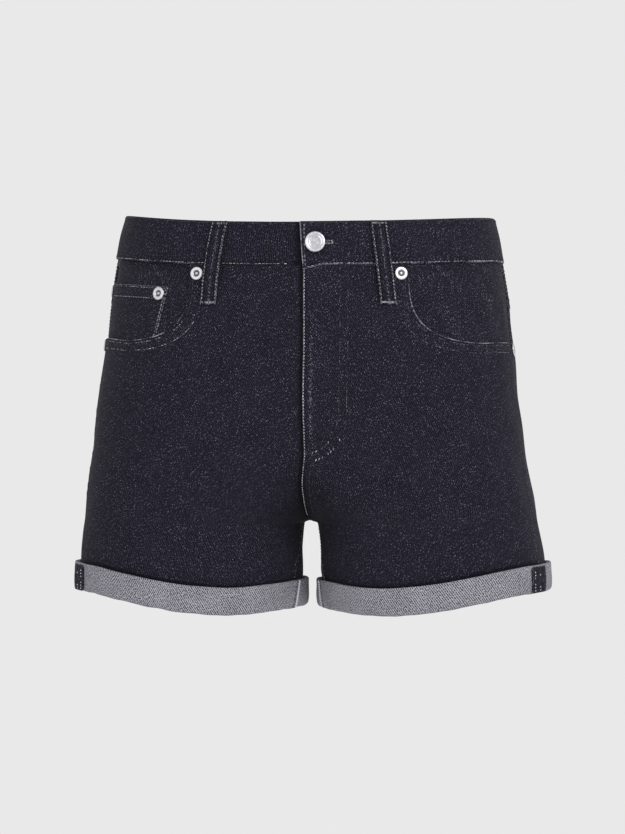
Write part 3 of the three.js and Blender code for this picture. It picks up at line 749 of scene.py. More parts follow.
def front_sheet(side):
    rows = np.concatenate([[0, 0.012, 0.04, 0.1], np.linspace(0.2, LAST_ROW, LAST_ROW * 8)])
    edge_at = lap_edge if side > 0 else half_gap_edge

    def height_at(row, share, angle):
        return trimmed_height(row, share, angle, 0, lambda a: band_seam(a) - lap_dip(a, side) + SEAM_TUCK)

    angle, z = panel_grid(1, FRONT_SHARES, edge_at, rows, height_at)
    if side > 0:
        return sheet_of(side, angle, z, front_shift(side))
    share = np.array([1, 0.97, 0.9, 0.75, 0.5, 0.25])[None, :]
    under_z = np.repeat(z[:, :1], share.shape[1], axis=1)
    reach = np.where(rows[:, None] < TORSO_ROWS, underlap_end(under_z), -HALF_GAP)
    under_x = mix(-HALF_GAP, reach, share)
    under_angle = angle_at_x(np.abs(under_x), under_z, 1)
    under_angle = np.where(rows[:, None] < TORSO_ROWS, under_angle, angle[:, :1])
    under = cloth_across(under_x, under_z, 1, front_shift(side))
    outer = cloth(side, angle, z, front_shift(side))
    inner_part = tuple(np.concatenate([under[i], outer[i]], axis=1) for i in range(3))
    all_angle = np.concatenate([under_angle, angle], axis=1)
    all_z = np.concatenate([under_z, z], axis=1)
    return sheet_of(side, all_angle, all_z, point=inner_part)


def back_sheet(side):
    rows = np.concatenate([YOKE_ROW + np.array([0, 0.012, 0.04, 0.1]), np.linspace(4.2, LAST_ROW, 17 * 8)])

    def height_at(row, share, angle):
        return trimmed_height(row, share, angle, YOKE_ROW, lambda a: yoke_line(a) - HALF_GAP)

    angle, z = panel_grid(-1, BACK_SHARES, half_gap_edge, rows, height_at)
    return sheet_of(side, angle, z)


def yoke_sheet(side):
    rows = bunched(26, 66)

    def height_at(row, share, angle):
        return mix(band_seam(angle) + SEAM_TUCK, yoke_line(angle) + HALF_GAP, row)

    angle, z = panel_grid(-1, BACK_SHARES, half_gap_edge, rows, height_at)
    return sheet_of(side, angle, z)


def outline_lift(outline, x):
    """An outline rises a little towards the side seam."""
    return outline["lift"] * smooth(x, outline["x"] - OUTLINE_LIFT_REACH, outline["x"])


def inside_outline(outline, sheet):
    """Positive inside a rounded outline, in millimetres from it down its depth."""
    across = np.abs(sheet["x"] - outline["x"]) / outline["wide"]
    lifted = sheet["z"] - outline_lift(outline, sheet["x"])
    down = np.maximum(outline["z"] - lifted, 0) / outline["deep"]
    reach = (across ** outline["power"] + down ** outline["power"]) ** (1 / outline["power"])
    return (1 - reach) * outline["deep"]


# Materials
def srgb(red, green, blue):
    def linear(value):
        value = value / 255
        return value / 12.92 if value <= 0.04045 else ((value + 0.055) / 1.055) ** 2.4

    return (linear(red), linear(green), linear(blue), 1)


class Graph:
    """A material's nodes: each method adds one and returns its output."""

    def __init__(self, name):
        self.material = bpy.data.materials.new(name)
        self.material.use_nodes = True
        self.nodes = self.material.node_tree.nodes
        self.links = self.material.node_tree.links
        self.shader = self.nodes["Principled BSDF"]

    def put(self, socket, value):
        if isinstance(value, bpy.types.NodeSocket):
            self.links.new(value, socket)
        else:
            socket.default_value = value

    def set(self, **inputs):
        for name, value in inputs.items():
            self.put(self.shader.inputs[name.replace("_", " ")], value)

    def pattern(self, turn, stretch=(1, 1, 1)):
        """The cloth's own coordinates in millimetres, turned by some degrees and stretched."""
        source = self.nodes.new("ShaderNodeUVMap")
        source.uv_map = "pattern"
        mapping = self.nodes.new("ShaderNodeMapping")
        mapping.inputs["Rotation"].default_value = (0, 0, math.radians(turn))
        mapping.inputs["Scale"].default_value = stretch
        self.links.new(source.outputs["UV"], mapping.inputs["Vector"])
        return mapping.outputs["Vector"]

    def noise(self, vector, size, detail=2.0, roughness=0.5):
        node = self.nodes.new("ShaderNodeTexNoise")
        node.inputs["Scale"].default_value = 1 / size
        node.inputs["Detail"].default_value = detail
        node.inputs["Roughness"].default_value = roughness
        self.links.new(vector, node.inputs["Vector"])
        return node.outputs[0]

    def bands(self, vector, pitch, distortion):
        node = self.nodes.new("ShaderNodeTexWave")
        node.wave_type = "BANDS"
        node.bands_direction = "X"
        node.inputs["Scale"].default_value = 2 * math.pi / 20 / pitch
        node.inputs["Distortion"].default_value = distortion
        node.inputs["Detail"].default_value = 2.0
        node.inputs["Detail Scale"].default_value = 1.8
        self.links.new(vector, node.inputs["Vector"])
        return node.outputs["Fac"]

    def math(self, operation, a, b=0.0, clamp=False):
        node = self.nodes.new("ShaderNodeMath")
        node.operation = operation
        node.use_clamp = clamp
        self.put(node.inputs[0], a)
        self.put(node.inputs[1], b)
        return node.outputs[0]

    def ramp(self, value, low, high, start=0.0, end=1.0):
        """From start to end, smoothly, as the value goes from low to high."""
        node = self.nodes.new("ShaderNodeMapRange")
        node.interpolation_type = "SMOOTHSTEP"
        node.inputs["From Min"].default_value = low
        node.inputs["From Max"].default_value = high
        node.inputs["To Min"].default_value = start
        node.inputs["To Max"].default_value = end
        self.links.new(value, node.inputs["Value"])
        return node.outputs["Result"]

    def mix(self, share, a, b):
        node = self.nodes.new("ShaderNodeMix")
        node.data_type = "RGBA"
        self.put(node.inputs["Factor"], share)
        self.put(node.inputs["A"], a)
        self.put(node.inputs["B"], b)
        return node.outputs["Result"]

    def attribute(self, name):
        node = self.nodes.new("ShaderNodeAttribute")
        node.attribute_name = name
        return node.outputs["Fac"]

    def bump(self, height, distance, strength=1.0):
        node = self.nodes.new("ShaderNodeBump")
        node.inputs["Distance"].default_value = distance * MM
        node.inputs["Strength"].default_value = strength
        self.links.new(height, node.inputs["Height"])
        return node.outputs["Normal"]


TWILL_TURN = 32
TWILL_PITCH = 1.6


def denim(name, deep, dark, light, fleck, worn, contrast, flecks_from):
    """Twill on the slant, a salt-and-pepper grain and light flecks. The point attribute rubs the cloth pale
    where it is positive, and darkens it towards the deep colour as painted shade where it is negative."""
    g = Graph(name)
    flat = g.pattern(0)
    twill = g.bands(g.pattern(TWILL_TURN), TWILL_PITCH, 0.9)
    grain = g.noise(g.pattern(TWILL_TURN, (1.0, 0.7, 1)), 0.92, 1.0, 0.6)
    fine = g.noise(flat, 0.8, 0.0, 0.5)
    cloud = g.noise(flat, 26, 3.0, 0.55)
    wear_and_shade = g.attribute("wear_and_shade")
    lines = g.math("MULTIPLY", g.math("SUBTRACT", twill, 0.5), 0.9)
    salt = g.math("MULTIPLY", g.math("SUBTRACT", grain, 0.5), 2.4)
    pepper = g.math("MULTIPLY", g.math("SUBTRACT", fine, 0.5), 1.8)
    clouds = g.math("MULTIPLY", g.math("SUBTRACT", cloud, 0.5), 0.5)
    tone = g.math("ADD", g.math("ADD", lines, salt), g.math("ADD", pepper, clouds))
    tone = g.math("ADD", g.math("MULTIPLY", tone, contrast), 0.5, clamp=True)
    base = g.mix(tone, dark, light)
    patchy = g.ramp(g.noise(flat, 8, 2.0, 0.6), 0.3, 0.7, 0.3, 1.0)
    spots = g.noise(g.pattern(TWILL_TURN, (1.0, 0.8, 1)), 0.95, 0.0, 0.5)
    sparks = g.ramp(spots, flecks_from, flecks_from + 0.14)
    base = g.mix(g.math("MULTIPLY", sparks, patchy), base, fleck)
    rub = g.math("ADD", wear_and_shade, g.math("MULTIPLY", g.math("SUBTRACT", grain, 0.5), 1.5))
    rub = g.math("ADD", rub, g.math("MULTIPLY", g.math("SUBTRACT", g.noise(flat, 3.2), 0.5), 0.9))
    base = g.mix(g.ramp(rub, 0.32, 1.0, 0.0, 0.95), base, worn)
    # Painted shade: where the attribute is negative, the cloth darkens towards the deep colour.
    base = g.mix(g.ramp(g.math("MULTIPLY", wear_and_shade, -1.0), 0.0, 1.0, 0.0, 0.85), base, deep)
    height = g.math("ADD", g.math("MULTIPLY", twill, 0.6), grain)
    g.set(Base_Color=base, Normal=g.bump(height, 0.2, 0.8))
    g.set(Roughness=0.9, Specular_IOR_Level=0.08, Sheen_Weight=0.03, Sheen_Roughness=0.45)
    return g.material


def cotton(name, dark, light):
    """A plain lining cloth: fine upright and level threads."""
    g = Graph(name)
    upright = g.bands(g.pattern(0), 0.7, 0.6)
    level = g.bands(g.pattern(90), 0.7, 0.6)
    cloud = g.noise(g.pattern(0), 18, 3.0, 0.6)
    weave = g.math("MULTIPLY", g.math("ADD", upright, level), 0.32)
    tone = g.math("ADD", weave, g.math("MULTIPLY", cloud, 0.4), clamp=True)
    g.set(Base_Color=g.mix(tone, dark, light), Normal=g.bump(weave, 0.1, 0.6))
    g.set(Roughness=0.92, Specular_IOR_Level=0.15, Sheen_Weight=0.05)
    return g.material


def thread(name, dark, light):
    """Twisted sewing thread, as light as its wear says."""
    g = Graph(name)
    twist = g.bands(g.pattern(35), 0.32, 0.3)
    tint = g.mix(g.attribute("wear_and_shade"), dark, light)
    shade = g.mix(g.math("MULTIPLY", twist, 0.35), tint, dark)
    g.set(Base_Color=shade, Normal=g.bump(twist, 0.06, 0.6))
    g.set(Roughness=0.7, Specular_IOR_Level=0.25, Sheen_Weight=0.05)
    return g.material


def metal(name, bright, dull, tarnish, roughness):
    """Cast nickel with faint clouds and fine scratches, dark in its hollows where the wear attribute says."""
    g = Graph(name)
    cloud = g.noise(g.pattern(0), 2.5, 3.0, 0.6)
    scratch = g.noise(g.pattern(20, (0.15, 4, 1)), 0.5, 2.0, 0.6)
    tone = g.ramp(g.math("ADD", g.math("MULTIPLY", cloud, 0.6), g.math("MULTIPLY", scratch, 0.4)), 0.35, 0.7)
    base = g.mix(g.attribute("wear_and_shade"), g.mix(tone, dull, bright), tarnish)
    rough = g.ramp(cloud, 0.3, 0.7, roughness, roughness + 0.12)
    g.set(Base_Color=base, Roughness=rough, Normal=g.bump(cloud, 0.02, 0.5), Metallic=1.0)
    return g.material


def paper(name, colour):
    g = Graph(name)
    cloud = g.noise(g.pattern(0), 400, 2.0, 0.5)
    tone = g.ramp(cloud, 0.3, 0.7, 0.0, 0.04)
    g.set(Base_Color=g.mix(tone, colour, srgb(215, 215, 215)), Roughness=0.95, Specular_IOR_Level=0.1)
    return g.material


# The first colour of each denim is the painted shade colour that negative values of the attribute darken the
# cloth towards.
FACE = denim("denim_face", srgb(8, 7, 10), srgb(11, 10, 15), srgb(39, 37, 50), srgb(114, 112, 126),
             srgb(158, 156, 168), 1.15, 0.652)
REVERSE = denim("denim_reverse", srgb(26, 25, 30), srgb(44, 43, 50), srgb(166, 164, 173), srgb(196, 194, 202),
                srgb(186, 184, 192), 1.4, 0.7)
COTTON = cotton("pocket_cotton", srgb(34, 33, 38), srgb(70, 68, 76))
TAPE = cotton("zip_tape", srgb(20, 19, 24), srgb(44, 42, 50))
THREAD = thread("sewing_thread", srgb(28, 27, 34), srgb(222, 221, 228))
METAL = metal("button_metal", srgb(226, 226, 231), srgb(200, 200, 206), srgb(40, 39, 44), 0.3)


def cloth_across(x, z, face, shift=no_shift):
    """Points at a signed place across the front (1) or the back (-1), which may pass the centre line."""
    x, z = np.broadcast_arrays(np.asarray(x, dtype=float), np.asarray(z, dtype=float))
    mirror = np.stack([np.where(x < 0, -1.0, 1.0), np.ones_like(x), np.ones_like(x)], axis=-1)
    return raised(skin(angle_at_x(np.abs(x), z, face), z), mirror, z, shift)


def bell(value, middle, reach):
    return np.exp(-(((value - middle) / reach) ** 2))


def hem_zone(distance, reach):
    """1 within a hem or seam of that depth, and 0 at its edge and past it."""
    return smooth(distance, 0.3, 1.6) * (1 - smooth(distance, reach, reach + 2.2))


PUCKER_LENGTH = 6.5
PUCKER_HEIGHT = 0.26


def puckers(sheet, seed):
    return PUCKER_HEIGHT * ripple(sheet["u"], sheet["v"], PUCKER_LENGTH, seed)


def cloth_shell(sheet, outer, inner, wear_and_shade=0.0, radius=EDGE_RADIUS, relief=0.0):
    """A ply with round edges. The relief lifts both of its faces."""
    fall = lip(edge_distance(sheet), min(radius, (outer - inner) / 2))
    return shell(sheet, outer - fall + relief, inner + fall + relief * 0.5, wear_and_shade)


def strip_part(point, outer, inner, wear_and_shade=0.0):
    """A narrow ply, such as a seam allowance, from a grid of points."""
    p, n, flat_x = point
    zero = np.zeros(p.shape[:2])
    sheet = sheet_of(1, zero, p[..., 2], point=point)
    return cloth_shell(sheet, outer, inner, wear_and_shade, 0.4)


# Sewing. A stitch is a short thread that dips into the cloth at both ends.
STITCH_RINGS = np.array([-1, -0.82, -0.4, 0, 0.4, 0.82, 1])
STITCH_GIRTH = np.array([0.25, 0.8, 1, 1, 1, 0.8, 0.25])
STITCH_SIDES = 6
DOTTED = {"pitch": 2.6, "length": 1.8, "width": 0.62, "rise": 0.24}
BAR_TACK = {"pitch": 0.62, "length": 1.9, "width": 0.42, "rise": 0.28, "slant": 84}


def stitches(p, n, pitch=3.1, length=2.5, width=0.5, rise=0.2, slant=0, zigzag=0, light=0.2, spread=0.12,
             missing=0.0, seed=0):
    """Stitches along a line of points on the cloth."""
    random = np.random.default_rng(seed)
    at = np.concatenate([[0], np.cumsum(np.linalg.norm(np.diff(p, axis=0), axis=1))])
    count = max(2, int(at[-1] / pitch))
    centre = (np.arange(count) + 0.5) * at[-1] / count
    centre = centre[random.uniform(0, 1, count) >= missing]
    count = len(centre)

    def read(values, place):
        return np.stack([np.interp(place, at, values[:, i]) for i in range(3)], axis=1)

    middle = read(p, centre)
    along = read(p, centre + 0.6) - read(p, centre - 0.6)
    out = read(n, centre)
    out /= np.linalg.norm(out, axis=1, keepdims=True)
    along -= out * (along * out).sum(axis=1, keepdims=True)
    along /= np.linalg.norm(along, axis=1, keepdims=True)
    across = np.cross(out, along)
    turn = np.radians(slant + zigzag * np.where(np.arange(count) % 2, 1, -1) + random.normal(0, 3, count))
    run = along * np.cos(turn)[:, None] + across * np.sin(turn)[:, None]
    side = np.cross(out, run)
    long = length * random.uniform(0.92, 1.08, count)
    phi = np.arange(STITCH_SIDES) / STITCH_SIDES * 2 * math.pi
    t = STITCH_RINGS[None, :, None, None]
    girth = (STITCH_GIRTH * width / 2)[None, :, None, None]
    lift = (rise - (rise + 0.3) * STITCH_RINGS**4)[None, :, None, None]
    ring_cos = np.cos(phi)[None, None, :, None]
    ring_sin = np.sin(phi)[None, None, :, None]
    points = (
        middle[:, None, None, :]
        + run[:, None, None, :] * t * long[:, None, None, None] / 2
        + side[:, None, None, :] * girth * ring_cos
        + out[:, None, None, :] * (lift + girth * ring_sin)
    )
    rings = len(STITCH_RINGS)
    one = grid_faces(rings, STITCH_SIDES, closed=True)
    size = rings * STITCH_SIDES
    faces = (one[None] + (np.arange(count) * size)[:, None, None]).reshape(-1, 3)
    u = np.broadcast_to(t[..., 0] * length / 2, (count, rings, STITCH_SIDES))
    v = np.broadcast_to(phi * width / 2, (count, rings, STITCH_SIDES)) + centre[:, None, None]
    tone = np.clip(light + spread * random.normal(0, 1, count), 0, 1)
    faces = turned_out(points, faces, np.repeat(middle, len(one), axis=0))
    return part_of(settle(points.reshape(-1, 3)), faces, u, v, np.repeat(tone, size))


def row_on(x, z, face, lift, shift=no_shift, **how):
    """Stitches along a line across the front or the back, on cloth that lies that far out."""
    p, n, _ = cloth_across(x, z, face, shift)
    return stitches(p + n * lift, n, **how)


def add_thread(name, parts):
    return make_piece(name, parts, [THREAD])


# Rows of stitches: their distances from a folded edge
EDGE_ROW = 0.95
FIRST_ROW = 1.9
SECOND_ROW = 8.3
SCOOP_ROWS = (2.6, 8.7)
SCOOP_LIGHT_FROM = -92
SEAM_ALLOWANCE = 13
ALLOWANCE_PLY = 0.8
ALLOWANCE_OUTER = -PLY - 0.2
FLY_STITCH = {"x": 42, "corner": -164, "deep": 46, "power": 2.2, "apart": 6.6}
FLY_LIGHT_FROM = -186
FLY_LIGHT_TO = 10
FLY_DOTS = {
    "pitch": 3.1, "length": 2.1, "width": 0.8, "rise": 0.3, "slant": 35, "light": 0.42, "spread": 0.3,
    "missing": 0.25,
}


def scoop_line(distance):
    """The pocket opening's edge, or a line that far outside it."""
    turn = np.linspace(0.02, math.pi / 2, 90)
    c, s = superellipse(turn, SCOOP["power"])
    reach = 1 + distance / SCOOP["deep"]
    x = SCOOP["x"] - SCOOP["wide"] * reach * c
    z = SCOOP["z"] - SCOOP["deep"] * reach * s + outline_lift(SCOOP, x)
    inside = (z < SEAM_LEVEL - BAND_SEAM_FRONT_DIP - 1) & (x < SCOOP["x"] - 1)
    return x[inside], z[inside]


def fly_line(inset):
    """The curved stitching beside the fly, from the band down and round to the fly's edge."""
    turn = np.linspace(0, math.pi / 2, 40)
    c, s = superellipse(turn, FLY_STITCH["power"])
    wide = FLY_STITCH["x"] - inset - FLY_EDGE
    x = FLY_EDGE + wide * c
    z = FLY_STITCH["corner"] - (FLY_STITCH["deep"] - inset) * s
    top = np.linspace(SEAM_LEVEL - BAND_SEAM_FRONT_DIP - 1.5, FLY_STITCH["corner"] + 1, 60)
    return np.concatenate([np.full(60, x[0]), x]), np.concatenate([top, z])


def inside_fly_line(sheet, inset):
    """Distance in from the fly's curved stitching, roughly in millimetres."""
    wide = FLY_STITCH["x"] - inset - FLY_EDGE
    across = np.abs(sheet["x"] - FLY_EDGE) / wide
    down = np.maximum(FLY_STITCH["corner"] - sheet["z"], 0) / (FLY_STITCH["deep"] - inset)
    reach = (across ** FLY_STITCH["power"] + down ** FLY_STITCH["power"]) ** (1 / FLY_STITCH["power"])
    return (1 - reach) * wide


def front_relief_wear_and_shade(sheet, side):
    """How far the front's cloth stands up at its hems and seams, how rubbed it is, and where painted shade
    darkens it.
    """
    opening, x, z = sheet["cut"], sheet["x"], sheet["z"]
    zone = hem_zone(opening, 9) + 0.8 * hem_zone(sheet["last"], 5)
    relief = 0.3 * (1 - smooth(opening, 8.6, 10.4)) + 0.25 * (1 - smooth(sheet["last"], 3.5, 5.5))
    for row in SCOOP_ROWS:
        relief -= 0.16 * bell(opening, row, 0.7)
    broken = 0.7 + 0.3 * ripple(sheet["u"], sheet["v"], 17, 19)
    upright = 0.8 * smooth(z, -98, -72) if side < 0 else 0.35 * smooth(z, -66, -50)
    wear_and_shade = 0.95 * bell(opening, 0, 0.9) * broken * (1 - upright) + 0.22 * bell(sheet["last"], 1.5, 1.6)
    # Painted shade: a dark line just in from the pocket opening's rubbed edge.
    wear_and_shade += 0.16 * hem_zone(opening, 8) - 0.55 * bell(opening, 1.7, 0.7)
    crotch = (1 - smooth(z, -212, -202)) * (z > CROTCH_LEVEL)
    # Painted shade: a dark strip under the waistband seam, another above the cuff, and a dark patch at the
    # crotch.
    wear_and_shade -= 0.75 * (1 - smooth(sheet["top"], 0.3, 2.6)) + 0.8 * (1 - smooth(sheet["bottom"], 22.6, 26))
    wear_and_shade -= 0.55 * np.exp(-((x / 30) ** 2) - ((z + 256) / 34) ** 2)
    if side > 0:
        fly = inside_fly_line(sheet, 0)
        edge = sheet["first"]
        relief += 0.3 * smooth(fly, -1, 1) + 0.3 * (1 - smooth(edge, 7, 9)) * crotch
        zone = zone + hem_zone(edge, 8) * (z > CROTCH_LEVEL) + 0.8 * bell(fly, 3, 4) * (fly > -2)
        for row in (0, FLY_STITCH["apart"]):
            relief -= 0.14 * bell(fly, row, 0.8)
        ridge = bell(x, 11.5, 2.6) * smooth(z, -214, -200) * (1 - smooth(z, -90, -75))
        ridge *= 0.75 + 0.25 * ripple(0 * z, z, 26, 23)
        # Painted shade: a dark line beside the lap's light edge.
        wear_and_shade += (0.6 * bell(edge, 0.2, 0.6) - 0.5 * bell(edge, 2.6, 1.0)) * (z > CROTCH_LEVEL)
        wear_and_shade += 0.36 * ridge + 0.3 * bell(x, 11.5, 2) * crotch + 0.08 * smooth(fly, 0, 4)
        relief += 0.25 * ridge
    else:
        # Painted shadow of the lap on the right front, darkest at the lap's edge.
        from_lap = lap_edge(z) - sheet.p[:, 0]
        wear_and_shade -= (1 - smooth(from_lap, 0.8, 3.4)) * (z > CROTCH_LEVEL) + 0.25 * (1 - smooth(from_lap, 2, 9))
    return relief + zone * puckers(sheet, 21 + side), np.clip(wear_and_shade, -1, 1)


def back_finish(sheet, side):
    zone = hem_zone(sheet["first"], 9) + 0.8 * hem_zone(sheet["last"], 5) + 0.6 * hem_zone(sheet["top"], 4)
    relief = 0.15 * (1 - smooth(sheet["last"], 3.5, 5.5))
    wear_and_shade = 0.3 * bell(sheet["last"], 1.2, 1.8) + 0.25 * bell(sheet["top"], 0, 2)
    if side > 0:
        relief = relief + 0.35 * (1 - smooth(sheet["first"], 9, 11))
        wear_and_shade = wear_and_shade + 0.6 * bell(sheet["first"], 0.3, 1.4)
    return relief + zone * puckers(sheet, 31 + side), np.clip(wear_and_shade, 0, 1)


def yoke_finish(sheet, side):
    zone = hem_zone(sheet["bottom"], 9) + 0.6 * hem_zone(sheet["top"], 4) + hem_zone(sheet["first"], 9)
    relief = 0.35 * (1 - smooth(sheet["bottom"], 9, 11))
    wear_and_shade = 0.65 * bell(sheet["bottom"], 0.3, 1.5) + 0.2 * bell(sheet["top"], 0, 3)
    if side > 0:
        relief = relief + 0.3 * (1 - smooth(sheet["first"], 9, 11))
        wear_and_shade = wear_and_shade + 0.5 * bell(sheet["first"], 0.3, 1.4)
    return relief + zone * puckers(sheet, 41 + side), np.clip(wear_and_shade, 0, 1)


def patch_finish(sheet, top_from):
    """A patch pocket: hemmed deeply at its top and narrowly at its other edges."""
    edge = np.minimum(sheet["cut"], sheet["bottom"])
    zone = hem_zone(edge, 8)
    relief = 0.25 * (1 - smooth(edge, 8.4, 10.2)) + 0.25 * (1 - smooth(top_from, 11, 13))
    wear_and_shade = 0.55 * bell(edge, 0.2, 0.7) + 0.12 * hem_zone(edge, 8) - 0.4 * bell(edge, 3, 1)
    return relief + zone * puckers(sheet, 51), np.clip(wear_and_shade, 0, 1)


def allowance(point):
    """A seam allowance lies pressed against the inside of the panels."""
    return strip_part(point, ALLOWANCE_OUTER, ALLOWANCE_OUTER - ALLOWANCE_PLY)


def side_allowance(side, z, centre, radius):
    """Both panels' allowances behind a seam that runs down the garment."""
    place = np.linspace(-1, 1, 9)[None, :] * SEAM_ALLOWANCE / 2
    angle = centre[:, None] + place / radius
    return allowance(cloth(side, angle, np.repeat(z[:, None], 9, axis=1)))


def panel_allowances(side):
    """What is turned to the inside at the side seam and the inseam."""
    z = np.linspace(SEAM_LEVEL - 6, HEM_OUTER + 6, 120)
    parts = [side_allowance(side, z, side_angle(z), SECTION.read("front", -200))]
    z = np.linspace(CROTCH_LEVEL - 1.5, HEM_INNER + 6, 46)
    parts.append(side_allowance(side, z, inner_angle(z, 0, 1), SECTION.read("front", -300)))
    return parts


def centre_back_allowance(top, bottom):
    z = np.linspace(top, bottom, 90)[:, None]
    x = np.linspace(-SEAM_ALLOWANCE / 2, SEAM_ALLOWANCE / 2, 11)[None, :]
    return allowance(cloth_across(x, z, -1))


def yoke_allowance(side):
    share = np.linspace(0.02, 0.98, 80)
    low = angle_at_x(HALF_GAP, np.array(YOKE_CENTRE), -1)
    angle = mix(low, side_angle(YOKE_CENTRE), share)[None, :]
    place = np.linspace(-1, 1, 9)[:, None] * SEAM_ALLOWANCE / 2
    z = yoke_line(angle) + place
    return allowance(cloth(side, angle + 0 * z, z))


def add_cloth(name, parts, nodes, materials=None):
    piece = make_piece(name, parts, materials or [FACE, REVERSE], nodes)


def build_fronts():
    for name, side in (("right", -1), ("left", 1)):
        front = front_sheet(side)
        panel = cut_out(front, lambda s: -inside_outline(SCOOP, s))
        relief, wear_and_shade = front_relief_wear_and_shade(panel, side)
        parts = [cloth_shell(panel, 0, -PLY, wear_and_shade, relief=relief)] + panel_allowances(side)
        add_cloth(f"cloth_front_{name}", parts, [f"front_{name}"])

        depth = PLY + SEAM_GAP
        if side < 0:
            coin = front
            for measure in coin_pocket_measures():
                coin = cut_out(coin, measure)
            relief, wear_and_shade = patch_finish(coin, coin_top(coin["x"]) - coin["z"])
            coin_parts = [cloth_shell(coin, -depth, -depth - LINING_PLY, wear_and_shade, relief=relief * 0.5)]
            add_cloth("cloth_coin_pocket", coin_parts, ["coin_pocket"])
            depth += LINING_PLY + SEAM_GAP
        facing = cut_out(front, lambda s: inside_outline(FACING, s))
        wear_and_shade = 0.1 + 0.1 * ripple(facing["u"], facing["v"], 30, 5)
        facing_parts = [cloth_shell(facing, -depth, -depth - LINING_PLY, wear_and_shade)]
        add_cloth(f"cloth_pocket_facing_{name}", facing_parts, [f"pocket_facing_{name}"])
        depth += LINING_PLY + SEAM_GAP
        bag = cut_out(front, lambda s: inside_outline(BAG, s))
        bag_parts = [cloth_shell(bag, -depth, -depth - LINING_PLY)]
        add_cloth(f"cloth_pocket_bag_{name}", bag_parts, [f"pocket_bag_{name}"],
                  [COTTON, COTTON])


def build_backs():
    for name, side in (("right", -1), ("left", 1)):
        back = back_sheet(side)
        relief, wear_and_shade = back_finish(back, side)
        parts = [cloth_shell(back, 0, -PLY, wear_and_shade, relief=relief)]
        if side > 0:
            parts.append(centre_back_allowance(YOKE_CENTRE + 8, CROTCH_LEVEL + 4))
        add_cloth(f"cloth_back_{name}", parts, [f"back_{name}"])

        yoke = yoke_sheet(side)
        relief, wear_and_shade = yoke_finish(yoke, side)
        parts = [cloth_shell(yoke, 0, -PLY, wear_and_shade, relief=relief), yoke_allowance(side)]
        if side > 0:
            parts.append(centre_back_allowance(SEAM_LEVEL - 1, YOKE_CENTRE + 7))
        add_cloth(f"cloth_yoke_{name}", parts, [f"yoke_{name}"])

        patch = back
        for measure in back_pocket_measures():
            patch = cut_out(patch, measure)
        relief, wear_and_shade = patch_finish(patch, back_pocket_top(patch["x"]) - patch["z"])
        patch_parts = [cloth_shell(patch, SEAM_GAP + PLY, SEAM_GAP, wear_and_shade, relief=relief)]
        add_cloth(f"cloth_back_pocket_{name}", patch_parts, [f"back_pocket_{name}"])


def back_pocket_measures():
    """The five lines of a back pocket, each positive on the pocket's side of it."""
    inner, outer, top = (BACK_POCKET[key] for key in ("inner", "outer", "top"))
    taper, tip = (BACK_POCKET[key] for key in ("taper", "tip"))
    middle = (inner + outer) / 2
    slope = (BACK_POCKET["shoulder"] - tip) / ((outer - inner) / 2)
    level = math.hypot(1, slope)
    return [
        lambda s: back_pocket_top(s["x"]) - s["z"],
        lambda s: s["x"] - inner - taper * (top - s["z"]),
        lambda s: outer - taper * (top - s["z"]) - s["x"],
        lambda s: (s["z"] - tip - slope * (s["x"] - middle)) / level,
        lambda s: (s["z"] - tip + slope * (s["x"] - middle)) / level,
    ]


def coin_pocket_measures():
    return [
        lambda s: coin_top(s["x"]) - s["z"],
        lambda s: s["x"] - COIN_EDGE_TOP_X - COIN_LEAN * (COIN_TOP - s["z"]),
        lambda s: inside_outline(FACING, s) - COIN_INSET,
    ]


# The waistband's rows: their share of its height, and their distance out from the cloth below it
BAND_OUTS = Curves(
    ["down", "out"],
    [
        [0, BAND_OUT - 0.4],
        [0.06, BAND_OUT],
        [0.5, BAND_OUT + 0.2],
        [1, BAND_OUT],
    ],
)
BAND_HEIGHT = 38
BAND_HALF_LENGTH = 490
BAND_COLUMNS = 260

# The buttonhole across the lap, and its close stitches on both sides of it
SLOT = {"from": 16, "to": 28}
SLOT_ROW = 1.15
SLOT_LIFT = BAND_OUT + BAND_LAP_STEP + 0.05
SLOT_SIDE = {
    "pitch": 0.6, "length": 1.7, "width": 0.42, "rise": 0.2, "slant": 80, "light": 0.3, "spread": 0.25,
}
SLOT_END = {
    "pitch": 0.55, "length": 1.5, "width": 0.42, "rise": 0.2, "slant": 85, "light": 0.55, "spread": 0.2,
}


def band_shift(x, step, under):
    """The lap stays proud to past the underlap's end, and the underlap drops beside the lap's edge."""
    flat = np.where(step > 0, LAP_FLAT, UNDERLAP_FLAT)
    fade = np.where(step > 0, LAP_FADE, UNDERLAP_FADE)
    near = 1 - smooth((np.abs(x) - flat) / (fade - flat), 0, 1)
    return np.where(under, step, step * near)


